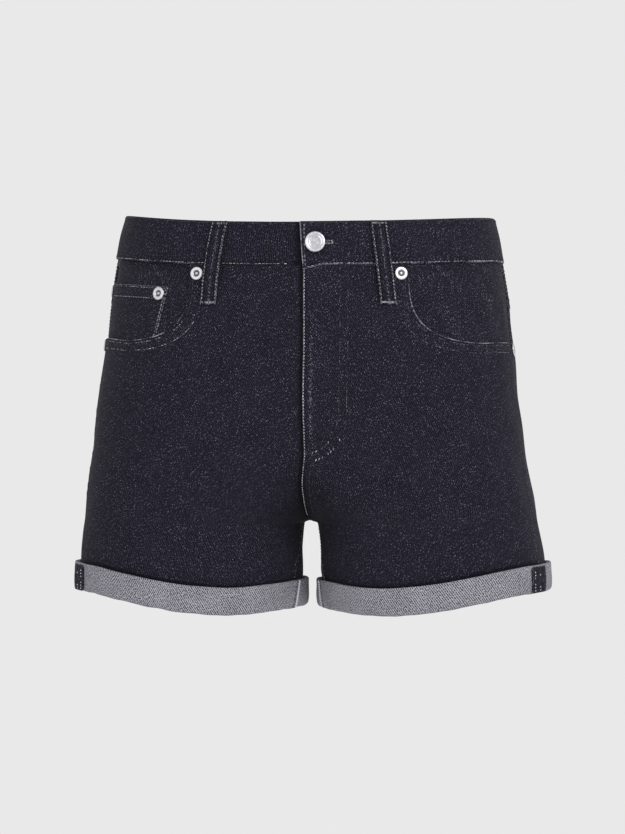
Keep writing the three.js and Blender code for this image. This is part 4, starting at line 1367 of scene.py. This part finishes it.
def band_grid(downs, share, x_under):
    """Rows down the band, from the lap's edge round the wearer's left, back and right to under the lap."""
    down = downs[:, None]
    groups = []
    lap_edge_at = mix(BAND_LAP_EDGE, BAND_LAP_EDGE_LOW, down)
    for side, edge, places in ((1, lap_edge_at, share), (-1, 0 * down, 1 - share[1:])):
        level = mix(angle_at_x(edge, SEAM_LEVEL, 1), angle_at_x(0, SEAM_LEVEL, -1), places[None, :])
        z = mix(band_top(level), band_seam(level) - lap_dip(level, side), down)
        angle = mix(angle_at_x(edge, z, 1), angle_at_x(0, z, -1), places[None, :])
        groups.append((side, False, angle, z))
    level = angle_at_x(x_under[None, :], SEAM_LEVEL, 1)
    z = mix(band_top(level), band_seam(level), down)
    groups.append((1, True, angle_at_x(x_under[None, :], z, 1), z))
    points = []
    for side, under, angle, z in groups:
        step = BAND_LAP_STEP if side > 0 and not under else -BAND_LAP_STEP
        shift = np.where(angle > 0, band_shift(skin(angle, z)[..., 0], step, under), 0)
        p, n, flat_x = cloth(side, angle, z)
        out = BAND_OUTS.read("out", down + 0 * z) + shift
        points.append((p + n * out[..., None], n, flat_x))
    point = tuple(np.concatenate([group[i] for group in points], axis=1) for i in range(3))
    angle = np.concatenate([group[2] for group in groups], axis=1)
    z = np.concatenate([group[3] for group in groups], axis=1)
    return sheet_of(1, angle, z, point=point)


def button_level():
    return band_top(math.pi / 2) - BUTTON_DROP


def buttonhole_slot(sheet):
    """Distance from the middle line of the buttonhole, in the band's lap."""
    middle = (SLOT["from"] + SLOT["to"]) / 2
    beyond = np.maximum(np.abs(sheet["x"] - middle) - (SLOT["to"] - SLOT["from"]) / 2, 0)
    off_lap = np.where(sheet["first"] < 60, 0, FAR)
    return np.hypot(beyond, sheet["z"] - button_level()) + off_lap


def build_waistband():
    downs = bunched(26, BAND_HEIGHT)
    near = np.array([0.1, 0.4, 1.0, 2.0]) / BAND_HALF_LENGTH
    share = np.concatenate([[0], near, np.linspace(0.006, 1, BAND_COLUMNS)])
    end = BAND_UNDERLAP_END - np.array([2.0, 1.0, 0.4, 0.1, 0])
    sheet = band_grid(downs, share, np.concatenate([np.linspace(1.5, BAND_UNDERLAP_END - 3, 24), end]))
    fall = lip(edge_distance(sheet), 0.95)
    zone = hem_zone(sheet["bottom"], 5) + 0.6 * hem_zone(sheet["top"], 3) + 0.6 * hem_zone(sheet["first"], 4)
    relief = 0.8 * zone * puckers(sheet, 61) - 0.5 * bell(buttonhole_slot(sheet), 0, 0.8)
    broken = 0.6 + 0.4 * ripple(sheet["u"], 0 * sheet["u"], 34, 62)
    wear_and_shade = 0.8 * bell(sheet["bottom"], 0, 0.6) * broken + 0.8 * bell(sheet["first"], 0.2, 0.7)
    # Painted shade: a dark line along the band's lower stitch row.
    wear_and_shade += 0.1 * bell(sheet["top"], 0, 1.2) - 0.45 * bell(sheet["bottom"], 1.9, 0.8)
    in_front = np.sin(sheet["angle"]) > 0
    # Painted shadow of the lap on the band, beside the lap's edge.
    from_lap = BAND_LAP_EDGE_LOW - sheet.p[:, 0]
    under = in_front * (from_lap > 0) * (sheet["first"] > 60) * (1 - smooth(from_lap, 2, 9))
    # Painted light and shade: the wearer's left front of the band is a little lighter, and the right half a
    # little darker.
    wear_and_shade += 0.09 * (sheet.p[:, 0] > 0) * in_front - 0.95 * under - 0.12 * (sheet.p[:, 0] < 0)
    parts = [shell(sheet, relief - fall, fall - BAND_THICK, np.clip(wear_and_shade, -1, 1))]
    add_cloth("cloth_waistband", parts, ["waistband"], [FACE, FACE])
    build_band_stitches(share)


def build_band_stitches(share):
    parts = []
    lap_end = len(share)
    for down, light, spread, seed in ((FIRST_ROW, 0.03, 0.04, 1), (BAND_HEIGHT - EDGE_ROW, 0.42, 0.28, 2)):
        row = band_grid(np.array([down / BAND_HEIGHT]), share, np.array([2.0]))
        clear = row["first"] > FIRST_ROW
        clear[2 * lap_end - 1:] = False
        right = np.arange(len(row.p)) >= lap_end
        clear &= ~(right & (row["x"] < 6) & (row["angle"] > 0))
        parts.append(stitches(row.p[clear], row.n[clear], light=light, spread=spread, seed=seed))
    edge = np.array([1.3 / BAND_HALF_LENGTH])
    downs = np.linspace(FIRST_ROW, BAND_HEIGHT - FIRST_ROW, 30) / BAND_HEIGHT
    column = band_grid(downs, np.concatenate([edge, [0.5]]), np.array([2.0]))
    first = np.arange(0, len(column.p), 4)
    parts.append(stitches(column.p[first], column.n[first], light=0.45, spread=0.25, seed=3))
    parts += buttonhole_parts()
    add_thread("sewing_waistband", parts)


def buttonhole_parts():
    """Close stitches on both sides of the slot, and round its end."""
    x = np.linspace(SLOT["from"], SLOT["to"], 30)
    parts = []
    for sign in (1, -1):
        parts.append(row_on(x, button_level() + sign * SLOT_ROW, 1, SLOT_LIFT, seed=5 + sign, **SLOT_SIDE))
    turn = np.linspace(-math.pi / 2, math.pi / 2, 14)
    x = SLOT["to"] + 1.2 * np.cos(turn)
    z = button_level() + SLOT_ROW * np.sin(turn)
    parts.append(row_on(x, z, 1, SLOT_LIFT, seed=9, **SLOT_END))
    return parts


# A belt loop's length, from its top, and how far its inner face stands off the cloth
LOOP_LIFTS = Curves(
    ["down", "lift"],
    [
        [0, 1.3],
        [0.08, 2.2],
        [0.22, 3.6],
        [0.4, 4.1],
        [0.58, 4],
        [0.74, 3],
        [0.86, 1.4],
        [0.93, 0.6],
        [1, 0.5],
    ],
)
LOOP_SHIFT_ALLOWANCE = 0.2
LOOP_ROWS = 76
LOOP_STITCH_PLACE = 0.84


def front_loop_x(z):
    """The front loops lean out towards their lower ends."""
    return FRONT_LOOP_X + FRONT_LOOP_LEAN * np.clip((-z - WAIST_FRONT_DIP) / LOOP_LENGTH, 0, 1)


LOOPS = {
    "front_left": (1, lambda z: angle_at_x(front_loop_x(z), z, 1)),
    "front_right": (-1, lambda z: angle_at_x(front_loop_x(z), z, 1)),
    "side_left": (1, lambda z: LOOP_SIDE_ANGLE + 0 * z),
    "side_right": (-1, lambda z: LOOP_SIDE_ANGLE + 0 * z),
    "back": (1, lambda z: angle_at_x(0 * z, z, -1)),
}


def loop_points(side, angle_at, down, place):
    """A grid on a belt loop's inner face: on the band at its top, off it between, tacked down below."""
    top = band_top(angle_at(np.array(0.0))) - LOOP_DROP
    z = top - down * LOOP_LENGTH
    p, n, flat_x = cloth(side, angle_at(z), z)
    lift = LOOP_LIFTS.read("lift", down) + (LOOP_SHIFT_ALLOWANCE if side > 0 else 0)
    across = np.cross(np.array([0, 0, 1.0]), n)
    across /= np.linalg.norm(across, axis=1, keepdims=True)
    middle = p + n * lift[:, None]
    points = middle[:, None] + across[:, None] * (place * LOOP_WIDTH / 2)[None, :, None]
    normals = np.repeat(n[:, None], len(place), axis=1)
    return points, normals, np.repeat(flat_x[:, None], len(place), axis=1)


def build_loops():
    down = np.concatenate([[0, 0.003, 0.008], np.linspace(0.015, 0.985, LOOP_ROWS), [0.992, 0.997, 1]])
    place = np.concatenate([[-1, -0.985, -0.94], np.linspace(-0.85, 0.85, 17), [0.94, 0.985, 1]])
    for seed, (name, (side, angle_at)) in enumerate(LOOPS.items()):
        point = loop_points(side, angle_at, down, place)
        sheet = sheet_of(side, np.zeros(point[2].shape), point[0][..., 2], point=point)
        fall = lip(edge_distance(sheet), 0.8)
        edge = np.minimum(sheet["first"], sheet["last"])
        across = (sheet["first"] - sheet["last"]) / LOOP_WIDTH
        ridge = bell(across, 0.06, 0.16)
        relief = 0.3 * hem_zone(edge, 5) * ripple(sheet["u"], sheet["v"], 5.5, 70 + seed) + 0.22 * ridge
        relief -= 0.15 * bell(edge, (1 - LOOP_STITCH_PLACE) * LOOP_WIDTH / 2, 0.6)
        wear_and_shade = 0.5 * bell(edge, 0.2, 0.7) + 0.42 * ridge + 0.25 * bell(sheet["bottom"], 0.5, 1.5)
        # Painted shade: a dark strip just in from each of the loop's edges.
        wear_and_shade -= 0.65 * bell(edge, 2.7, 1.0)
        parts = [shell(sheet, LOOP_THICK - fall + relief, fall, np.clip(wear_and_shade, -1, 1))]
        add_cloth(f"cloth_belt_loop_{name}", parts, [f"belt_loop_{name}"],
                  [FACE, FACE])
        sewing = []
        for sign in (-1, 1):
            place_at = np.array([sign * LOOP_STITCH_PLACE])
            line = loop_points(side, angle_at, np.linspace(0.015, 0.985, 60), place_at)
            p, n = line[0][:, 0], line[1][:, 0]
            sewing.append(stitches(p + n * LOOP_THICK, n, pitch=2.8, length=2.0, light=0.42, spread=0.22,
                                   seed=80 + 2 * seed + sign))
        for down_at, light in ((0.035, 0.25), (0.975, 0.5)):
            line = loop_points(side, angle_at, np.array([down_at, down_at]), np.linspace(-0.8, 0.8, 18))
            p, n = line[0][0], line[1][0]
            lifted = p + n * LOOP_THICK
            sewing.append(stitches(lifted, n, light=light, spread=0.25, seed=95 + seed, **BAR_TACK))
        add_thread(f"sewing_belt_loop_{name}", sewing)


# Where the cuff's section runs: out from the leg, and up from the hem line. It turns in under the leg,
# and the cloth's two folds show at its top.
CUFF_PROFILE = [
    {"out": 0.7, "up": CUFF_HEIGHT - 1.2},
    {"out": 1.4, "up": CUFF_HEIGHT},
    {"out": 2.3, "up": CUFF_HEIGHT - 0.1},
    {"out": 2.75, "up": CUFF_HEIGHT - 1.5},
    {"out": 3.2, "up": CUFF_HEIGHT - 0.1},
    {"out": 4.4, "up": CUFF_HEIGHT + 0.2},
    {"out": 5.2, "up": CUFF_HEIGHT - 0.8},
    {"out": 5.3, "up": CUFF_HEIGHT - 4},
    {"out": 5.5, "up": 12},
    {"out": 5.4, "up": 5},
    {"out": 5.2, "up": 2.2},
    {"out": 4.4, "up": 0.5},
    {"out": 2.6, "up": -0.1},
    {"out": 0.5, "up": 0},
    {"out": -0.9, "up": 0.3},
    {"out": -1.2, "up": 1},
    {"out": -0.6, "up": 1.4},
    {"out": 0.7, "up": 1.4},
]
CUFF_COLUMNS = 400
CUFF_SEAM_LEAN = 0.035
CHAIN = {"pitch": 2.1, "length": 2.3, "width": 1.15, "rise": 0.6, "slant": 34}
CHAIN_APART = 1.3
CHAIN_OUT = 5.55
STRIP_DOTS = {
    "pitch": 2.3, "length": 1.5, "width": 0.7, "rise": 0.25, "zigzag": 30, "light": 0.9, "spread": 0.12,
}


def rounded(profile, rounds):
    """Cuts the corners of a closed profile a few times, which leaves a smooth one."""
    points = np.array([[row["out"], row["up"]] for row in profile], dtype=float)
    for _ in range(rounds):
        following = np.roll(points, -1, axis=0)
        points = np.stack([mix(points, following, 0.25), mix(points, following, 0.75)], axis=1).reshape(-1, 2)
    return points


def cuff_sway(side, angle, up):
    """How the rolled cloth wanders: out from the leg, and up, mostly at its top and bottom edges."""
    turn = angle * 95
    upper = smooth(up, 8, CUFF_HEIGHT)
    lower = 1 - smooth(up, 0, 10)
    out = 0.3 * ripple(turn, up * 1.5, 22, 120 + side) * (0.4 + 0.6 * upper) - 0.25 * lower
    rise = 0.12 * upper * ripple(turn, 0 * turn, 34, 122 + side)
    rise += 0.3 * lower * ripple(turn, 0 * turn, 15, 124 + side)
    seam = bell(angle, math.pi - INSEAM_SWING, 0.03)
    return out + 0.35 * seam, rise


def cuff_points(side, angle, out, up):
    """Points on a cuff, and their directions out."""
    sway, rise = cuff_sway(side, whole_turns(angle), up)
    z = hem_line(angle) + up + rise
    p, n, _ = cloth(side, angle, z)
    return p + n * (out + sway)[..., None], n


def cuff_seam_angle(up):
    """Where the inseam runs up the cuff."""
    return math.pi - INSEAM_SWING + CUFF_SEAM_LEAN * (2 * up / CUFF_HEIGHT - 1)


def whole_turns(angle):
    """The ripples of a cuff must meet, so its angles are folded into one there-and-back run."""
    return np.where(angle > math.pi, 2 * math.pi - angle, angle)


def cuff_part(side):
    turn = np.arange(CUFF_COLUMNS) / CUFF_COLUMNS * 2 * math.pi
    profile = rounded(CUFF_PROFILE, 2)
    out = np.repeat(profile[:, 0][:, None], CUFF_COLUMNS, axis=1)
    up = np.repeat(profile[:, 1][:, None], CUFF_COLUMNS, axis=1)
    angle = np.repeat(turn[None, :], len(profile), axis=0)
    points, _ = cuff_points(side, angle, out, up)
    v = run_lengths(np.concatenate([points, points[:1]]), 0)[:-1]
    u = np.repeat(run_lengths(points, 1)[:1], len(profile), axis=0) * -side
    beside = (angle - cuff_seam_angle(up)) * SECTION.read("front", HEM_INNER)
    # Painted shade: dark strips on both sides of the inseam's raised chain stitching, and on the inner fold
    # at the cuff's top, next to the leg.
    wear_and_shade = -0.6 * bell(beside, 0.6, 1.6) - 0.9 * bell(beside, 3.0, 0.9) - 0.8 * bell(beside, -1.8, 0.7)
    wear_and_shade -= 0.5 * (1 - smooth(out, 2.2, 3.4)) * (up > 8)
    faces = grid_faces(len(profile) + 1, CUFF_COLUMNS, closed=True) % (len(profile) * CUFF_COLUMNS)
    return part_of(settle(points.reshape(-1, 3)), turned_out(points, faces, 0), u, v, wear_and_shade)


def strip_points(side, place, up):
    """Points on the leg behind a cuff's strip, swaying with the cuff. The place is ahead of its middle."""
    middle = side_angle(np.array(HEM_OUTER + CUFF_HEIGHT / 2))
    ahead = STRIP_AHEAD + place * STRIP_WIDTH / 2
    angle = middle + ahead / SECTION.read("front", HEM_OUTER) + 0 * up
    up = up + 0 * angle
    z = hem_line(angle) + up
    p, n, flat_x = cloth(side, angle, z)
    sway, _ = cuff_sway(side, angle, up)
    return angle, z, (p + n * sway[..., None], n, flat_x)


def strip_sheet(side):
    """The side seam's allowance on the cuff, with round corners: its ends are drawn in at both sides."""
    up = np.concatenate([[0.6, 0.75, 1.1, 1.8], np.linspace(2.6, CUFF_HEIGHT - 2.8, 24)])
    up = np.concatenate([up, CUFF_HEIGHT - np.array([2.0, 1.3, 0.95, 0.8])])[:, None]
    place = np.concatenate([[-1, -0.98, -0.92], np.linspace(-0.82, 0.82, 14), [0.92, 0.98, 1]])[None, :]
    end = np.minimum(up - 0.6, CUFF_HEIGHT - 0.8 - up)
    narrow = 1 - 0.22 * np.clip(1 - end / 3, 0, 1) ** 2
    angle, z, point = strip_points(side, -place * narrow, up)
    return sheet_of(side, angle, z, point=point)


def build_cuffs():
    for name, side in (("right", -1), ("left", 1)):
        cuff = cuff_part(side)
        add_cloth(f"cloth_cuff_{name}", [cuff], [f"cuff_{name}"], [REVERSE])
        strip = strip_sheet(side)
        edge = edge_distance(strip)
        relief = 0.3 * smooth(edge, 0, 3) * ripple(strip["u"], strip["v"], 7, 130) + 0.25 * bell(edge, 1.6, 1)
        wear_and_shade = 0.25 * bell(edge, 0.4, 1)
        parts = [cloth_shell(strip, STRIP_OUT + STRIP_PLY, STRIP_OUT, wear_and_shade, 0.42, relief)]
        add_cloth(f"cloth_cuff_strip_{name}", parts, [f"cuff_strip_{name}"],
                  [FACE, FACE])
        build_cuff_stitches(name, side)


def build_cuff_stitches(name, side):
    sewing = []
    for place, missing, seed in ((0.7, 0.25, 140), (0.05, 0.55, 141)):
        _, _, (p, n, _) = strip_points(side, place, np.linspace(1.5, CUFF_HEIGHT - 1.6, 24))
        lift = STRIP_OUT + STRIP_PLY + 0.2
        sewing.append(stitches(p + n * lift, n, missing=missing, seed=seed, **STRIP_DOTS))
    up = np.linspace(0.8, CUFF_HEIGHT - 0.5, 30)
    for offset, light in ((0, 1.1), (CHAIN_APART, 0.85)):
        angle = cuff_seam_angle(up) + offset / SECTION.read("front", HEM_INNER)
        p, n = cuff_points(side, angle, CHAIN_OUT + 0 * up, up)
        sewing.append(stitches(p, n, light=light, spread=0.08, seed=144, **CHAIN))
    add_thread(f"sewing_cuff_{name}", sewing)


def scoop_stitches(side):
    parts = []
    for i, distance in enumerate(SCOOP_ROWS):
        x, z = scoop_line(distance)
        low = z < SCOOP_LIGHT_FROM
        for part, light in ((low, 0.32 if side < 0 else 0.12), (~low, 0.05)):
            parts.append(row_on(side * x[part], z[part], 1, 0.22, front_shift(side), light=light,
                                spread=light * 0.9, seed=200 + i))
    return parts


def fly_stitches():
    """The two curved rows beside the fly, the dotted row on the lap's edge, and the seam below the lap."""
    left = front_shift(1)
    parts = []
    for i, inset in enumerate((0, FLY_STITCH["apart"])):
        x, z = fly_line(inset)
        low = (z < FLY_LIGHT_FROM) & (x > FLY_LIGHT_TO)
        parts.append(row_on(x[low], z[low], 1, 0.32, left, seed=214 + i, **FLY_DOTS))
        parts.append(row_on(x[~low], z[~low], 1, 0.3, left, light=0.06, spread=0.08, seed=210 + i))
    z = np.linspace(SEAM_LEVEL - BAND_SEAM_FRONT_DIP - 2, CROTCH_LEVEL + 6, 160)
    parts.append(row_on(lap_edge(z) + EDGE_ROW, z, 1, 0.2, left, light=0.72, spread=0.2, seed=212, **DOTTED))
    z = np.linspace(FLY_NARROWS - 6, CROTCH_LEVEL + 8, 50)
    x = lap_edge(z) + SECOND_ROW - 1
    parts.append(row_on(x, z, 1, 0.25, left, light=0.03, spread=0.05, seed=213))
    return parts


def coin_pocket_stitches():
    parts = []
    lift = COIN_LAYER + 0.15
    x = np.linspace(COIN_EDGE_TOP_X + 2, 168, 60)
    for below, light, seed in ((1.8, 0.22, 220), (10.6, 0.32, 221)):
        parts.append(row_on(-x, coin_top(x) - below, 1, lift, light=light, spread=0.2, seed=seed))
    z = np.linspace(COIN_TOP - 1.5, COIN_BOTTOM - 3, 40)
    x = COIN_EDGE_TOP_X + COIN_LEAN * (COIN_TOP - z) + 1.8
    parts.append(row_on(-x, z, 1, lift, light=0.5, spread=0.2, seed=223))
    return parts


def inseam_stitches(side):
    parts = []
    for offset, seed in ((FIRST_ROW, 230), (SECOND_ROW - 1, 231)):
        z = np.linspace(CROTCH_LEVEL - 6, HEM_INNER + CUFF_HEIGHT, 40)
        angle = inner_angle(z, 0, 1) - offset / SECTION.read("front", z)
        p, n, _ = cloth(side, angle, z)
        parts.append(stitches(p + n * 0.1, n, light=0.12, seed=seed))
    return parts


def build_panel_stitches():
    for name, side in (("right", -1), ("left", 1)):
        own = fly_stitches() if side > 0 else coin_pocket_stitches()
        add_thread(f"sewing_front_{name}", scoop_stitches(side) + own + inseam_stitches(side))
        build_back_stitches(name, side)


def build_back_stitches(name, side):
    parts = []
    for offset, seed in ((FIRST_ROW, 240), (SECOND_ROW, 241)):
        low = angle_at_x(3.0, np.array(YOKE_CENTRE), -1)
        angle = mix(low, side_angle(YOKE_CENTRE), np.linspace(0, 0.99, 120))
        p, n, _ = cloth(side, angle, yoke_line(angle) + HALF_GAP + offset)
        parts.append(stitches(p + n * 0.3, n, light=0.16, seed=seed))
        if side > 0:
            z = np.linspace(SEAM_LEVEL - 2, CROTCH_LEVEL + 8, 160)
            parts.append(row_on(offset + 0 * z, z, -1, 0.3, light=0.18, seed=seed + 2))
    z = np.linspace(SEAM_LEVEL - 2, -112, 50)
    angle = side_angle(z) - (FIRST_ROW + 0.2) / SECTION.read("front", z)
    p, n, _ = cloth(side, angle, z)
    parts.append(stitches(p + n * 0.12, n, light=0.12, seed=246))
    for inset, seed in ((FIRST_ROW, 250), (SECOND_ROW - 0.8, 251)):
        x, z = back_pocket_line(inset)
        parts.append(row_on(side * x, z, -1, SEAM_GAP + PLY + 0.18, light=0.16, seed=seed))
    lift = SEAM_GAP + PLY + 0.2
    for below, seed in ((FIRST_ROW, 252), (11.2, 253)):
        x = np.linspace(BACK_POCKET["inner"] + 2, BACK_POCKET["outer"] - 2, 70)
        parts.append(row_on(side * x, back_pocket_top(x) - below, -1, lift, light=0.18, seed=seed))
    for x in (BACK_POCKET["inner"] + 1.2, BACK_POCKET["outer"] - 1.2):
        z = np.linspace(back_pocket_top(x) - 1, back_pocket_top(x) - 9, 12)
        parts.append(row_on(side * x, z, -1, lift, light=0.25, seed=254, **BAR_TACK))
    add_thread(f"sewing_back_{name}", parts)


def back_pocket_line(inset):
    """Down a back pocket's inner side, round its point and up its outer side, that far in from its edge."""
    inner, outer, top = (BACK_POCKET[key] for key in ("inner", "outer", "top"))
    taper, tip = (BACK_POCKET[key] for key in ("taper", "tip"))
    middle = (inner + outer) / 2
    slope = (BACK_POCKET["shoulder"] - tip) / ((outer - inner) / 2)
    drop = inset * math.hypot(1, slope)

    def side_x(z, sign):
        reach = (outer - inner) / 2 - taper * (top - z) - inset
        return middle + sign * reach

    bottom = BACK_POCKET["shoulder"] + drop - slope * (taper * (top - BACK_POCKET["shoulder"]) + inset)
    ends = []
    for sign in (-1, 1):
        start = back_pocket_top(side_x(top, sign)) - 1.5
        ends.append([(side_x(start, sign), start), (side_x(bottom, sign), bottom)])
    route = ends[0] + [(middle, tip + drop)] + ends[1][::-1]
    pieces = []
    for (x0, z0), (x1, z1) in zip(route[:-1], route[1:]):
        share = np.linspace(0, 1, 40)[:-1]
        pieces.append(np.stack([mix(x0, x1, share), mix(z0, z1, share)]))
    line = np.concatenate(pieces + [np.array(route[-1])[:, None]], axis=1)
    return line[0], line[1]


# The zip's tape and the shield behind it: their reach across and down, and their distances in
ZIP = {"from": 14.6, "to": 37, "top": -50, "bottom": -192, "outer": -1.0, "inner": -1.95}
SHIELD = {"from": -14, "to": 39, "top": -48.5, "bottom": -198, "outer": -2.8, "inner": -3.8}
TEETH = {"from": 15.2, "top": -56, "bottom": -186, "pitch": 1.6, "length": 2.4, "width": 0.8,
         "lift": -1.55}


def fly_part(piece, wear_and_shade):
    x = mix(piece["from"], piece["to"], bunched(26, piece["to"] - piece["from"]))[None, :]
    z = mix(piece["top"], piece["bottom"], bunched(80, piece["top"] - piece["bottom"]))[:, None]
    return strip_part(cloth_across(x, z, 1), piece["outer"], piece["inner"], wear_and_shade)


def build_fly():
    add_cloth("cloth_zip_tape", [fly_part(ZIP, 0)], ["fly_zip"],
              [TAPE, TAPE])
    add_cloth("cloth_fly_shield", [fly_part(SHIELD, 0.1)], ["fly_shield"],
              [FACE, FACE])
    z = np.linspace(TEETH["top"], TEETH["bottom"], 60)
    p, n, _ = cloth_across(TEETH["from"] + 0 * z, z, 1)
    lift = TEETH["lift"]
    teeth = stitches(p + n * lift, n, TEETH["pitch"], TEETH["length"], TEETH["width"], 0.0, 90, seed=300)
    make_piece("zip_teeth", [teeth], [METAL])


# Turned pieces: radius and height
BUTTON_PROFILE = [
    (0, 0), (4.2, 0), (4.2, 0.9), (8.0, 0.9), (8.5, 1.1), (8.7, 1.6), (8.65, 2.1), (8.35, 2.6), (7.8, 2.95),
    (7.2, 3.05), (6.7, 2.95), (6.35, 2.72), (6.0, 2.62), (5.6, 2.66), (5.35, 2.76), (5.1, 2.78), (4.85, 2.7),
    (4.5, 2.62), (3, 2.66), (1.5, 2.7), (0, 2.71),
]
RIVET_PROFILE = [
    (0, 0), (5.1, 0), (5.5, 0.25), (5.6, 0.6), (5.5, 1.0), (5.2, 1.28), (4.8, 1.42), (4.2, 1.5), (3.5, 1.48),
    (3.0, 1.36), (2.65, 1.1), (2.45, 0.7), (2.2, 0.5), (1.7, 0.45), (1.45, 0.55), (1.3, 0.9), (1.1, 1.15),
    (0.6, 1.3), (0, 1.34),
]
TURNED_STEPS = 72
HOLLOW_TARNISH = 1.3


def tarnish_of(outline):
    """A turned piece darkens in its hollows, and only a little down its outside."""
    radius, height = outline[:, 0], outline[:, 1]
    depth = HOLLOW_TARNISH * (1 - height / height.max())
    crest = radius[np.argmax(height)]
    return np.clip(np.where(radius < crest, depth, 0.3 * depth), 0, 1)


def turned_part(profile, p, n):
    """A turned piece whose axis stands on the cloth at p, straight out."""
    outline = np.array(profile, dtype=float)
    turn = np.arange(TURNED_STEPS) / TURNED_STEPS * 2 * math.pi
    first = np.cross(n, [0.0, 0.0, 1.0])
    first /= np.linalg.norm(first)
    second = np.cross(n, first)
    ring = np.cos(turn)[:, None] * first + np.sin(turn)[:, None] * second
    foot = settle(p)
    points = foot + outline[:, 0][:, None, None] * ring[None] + outline[:, 1][:, None, None] * n
    faces = turned_out(points, grid_faces(len(outline), TURNED_STEPS, closed=True), foot)
    a, b, c = corners(points, faces)
    whole = np.linalg.norm(np.cross(b - a, c - a), axis=1) > 1e-9
    u = outline[:, 0][:, None] * np.cos(turn)[None]
    v = outline[:, 0][:, None] * np.sin(turn)[None]
    return part_of(points, faces[whole], u, v, np.repeat(tarnish_of(outline), TURNED_STEPS))


# Rivets: at x across the front, or some degrees in front of the side seam, and the layer that carries each
RIVETS = {
    "pocket_left": {"side": 1, "x": 85.7, "z": -52.9, "layer": 0},
    "pocket_right": {"side": -1, "x": 85.7, "z": -52.9, "layer": 0},
    "side_left": {"side": 1, "ahead": 4.2, "z": -112.8, "layer": 0},
    "side_right": {"side": -1, "ahead": 4.2, "z": -112.8, "layer": 0},
    "coin_inner": {"side": -1, "x": 120.3, "z": -69.4, "layer": COIN_LAYER},
    "coin_outer": {"side": -1, "ahead": 4.2, "z": -65.5, "layer": COIN_LAYER},
}


def build_metal():
    p, n, _ = cloth_across(np.array(BUTTON_X), np.array(button_level()), 1)
    lift = BAND_OUT + BAND_LAP_STEP + METAL_LIFT
    make_piece("metal_button", [turned_part(BUTTON_PROFILE, p + n * lift, n)], [METAL],
               ["waist_button"])
    for name, rivet in RIVETS.items():
        z = np.array(rivet["z"])
        if "x" in rivet:
            angle = angle_at_x(rivet["x"], z, 1)
        else:
            angle = side_angle(z) + math.radians(rivet["ahead"])
        p, n, _ = cloth(rivet["side"], angle, z)
        part = turned_part(RIVET_PROFILE, p + n * (rivet["layer"] + METAL_LIFT), n)
        make_piece(f"metal_rivet_{name}", [part], [METAL], [f"rivet_{name}"])


build_fronts()
build_backs()
build_waistband()
build_loops()
build_cuffs()
build_panel_stitches()
build_fly()
build_metal()


# The stage is in metres. The backdrop's grey is the photo's own.
BACKDROP = srgb(233, 233, 233)
FLOOR_RADIUS = 2.2
FLOOR_LEVEL = -0.9
FLOOR_SIDES = 120
LIGHT_TARGET = (0, 0, -0.17)
LIGHTS = {
    "key": {"place": (1.5, -2.3, 1.2), "size": (1.4, 1.4), "power": 40},
    "fill": {"place": (-1.8, -2.0, 0.3), "size": (1.4, 1.8), "power": 6},
    "back": {"place": (-0.6, 2.4, 1.4), "size": (1.6, 1.2), "power": 24},
}


def build_stage():
    world = bpy.data.worlds.new("studio")
    bpy.context.scene.world = world
    world.use_nodes = True
    background = world.node_tree.nodes["Background"]
    background.inputs["Color"].default_value = BACKDROP
    background.inputs["Strength"].default_value = 1.0
    turn = np.arange(FLOOR_SIDES) / FLOOR_SIDES * 2 * math.pi
    ring = np.stack([np.cos(turn) * FLOOR_RADIUS, np.sin(turn) * FLOOR_RADIUS, 0 * turn + FLOOR_LEVEL], 1)
    mesh = bpy.data.meshes.new("floor")
    mesh.from_pydata(ring.tolist(), [], [list(range(FLOOR_SIDES))])
    layer = mesh.uv_layers.new(name="pattern")
    layer.data.foreach_set("uv", (ring[:, :2] / MM).astype(np.float32).ravel())
    mesh.materials.append(paper("floor", srgb(236, 236, 236)))
    floor = bpy.data.objects.new("floor", mesh)
    bpy.context.scene.collection.objects.link(floor)


def build_lights():
    for name, light in LIGHTS.items():
        data = bpy.data.lights.new(name, "AREA")
        data.shape = "RECTANGLE"
        data.size, data.size_y = light["size"]
        data.energy = light["power"]
        lamp = bpy.data.objects.new(name, data)
        bpy.context.scene.collection.objects.link(lamp)
        lamp.location = light["place"]
        aim(lamp, LIGHT_TARGET)


def aim(thing, target):
    direction = Vector(target) - thing.location
    thing.rotation_euler = direction.to_track_quat("-Z", "Y").to_euler()


# The camera stands level, a little to the wearer's left of straight ahead. Its focal length is the
# photo's, in pixels of a picture that high.
CAMERA_TURN = math.radians(5.3)
CAMERA_DISTANCE = 2.6
CAMERA_ASIDE = 0.0026
CAMERA_LEVEL = -0.173
SENSOR_HEIGHT = 24
PHOTO_FOCAL = 2988.5
PHOTO_HEIGHT = 834


def build_camera():
    data = bpy.data.cameras.new("camera")
    data.sensor_fit = "VERTICAL"
    data.sensor_height = SENSOR_HEIGHT
    data.lens = SENSOR_HEIGHT * PHOTO_FOCAL / PHOTO_HEIGHT
    data.clip_end = 50
    camera = bpy.data.objects.new("camera", data)
    bpy.context.scene.collection.objects.link(camera)
    ahead = Vector((-math.sin(CAMERA_TURN), math.cos(CAMERA_TURN), 0))
    right = Vector((math.cos(CAMERA_TURN), math.sin(CAMERA_TURN), 0))
    target = right * CAMERA_ASIDE + Vector((0, 0, CAMERA_LEVEL))
    camera.location = target - ahead * CAMERA_DISTANCE
    aim(camera, target)
    bpy.context.scene.camera = camera


build_stage()
build_lights()
build_camera()
bpy.context.scene.view_settings.view_transform = "Standard"
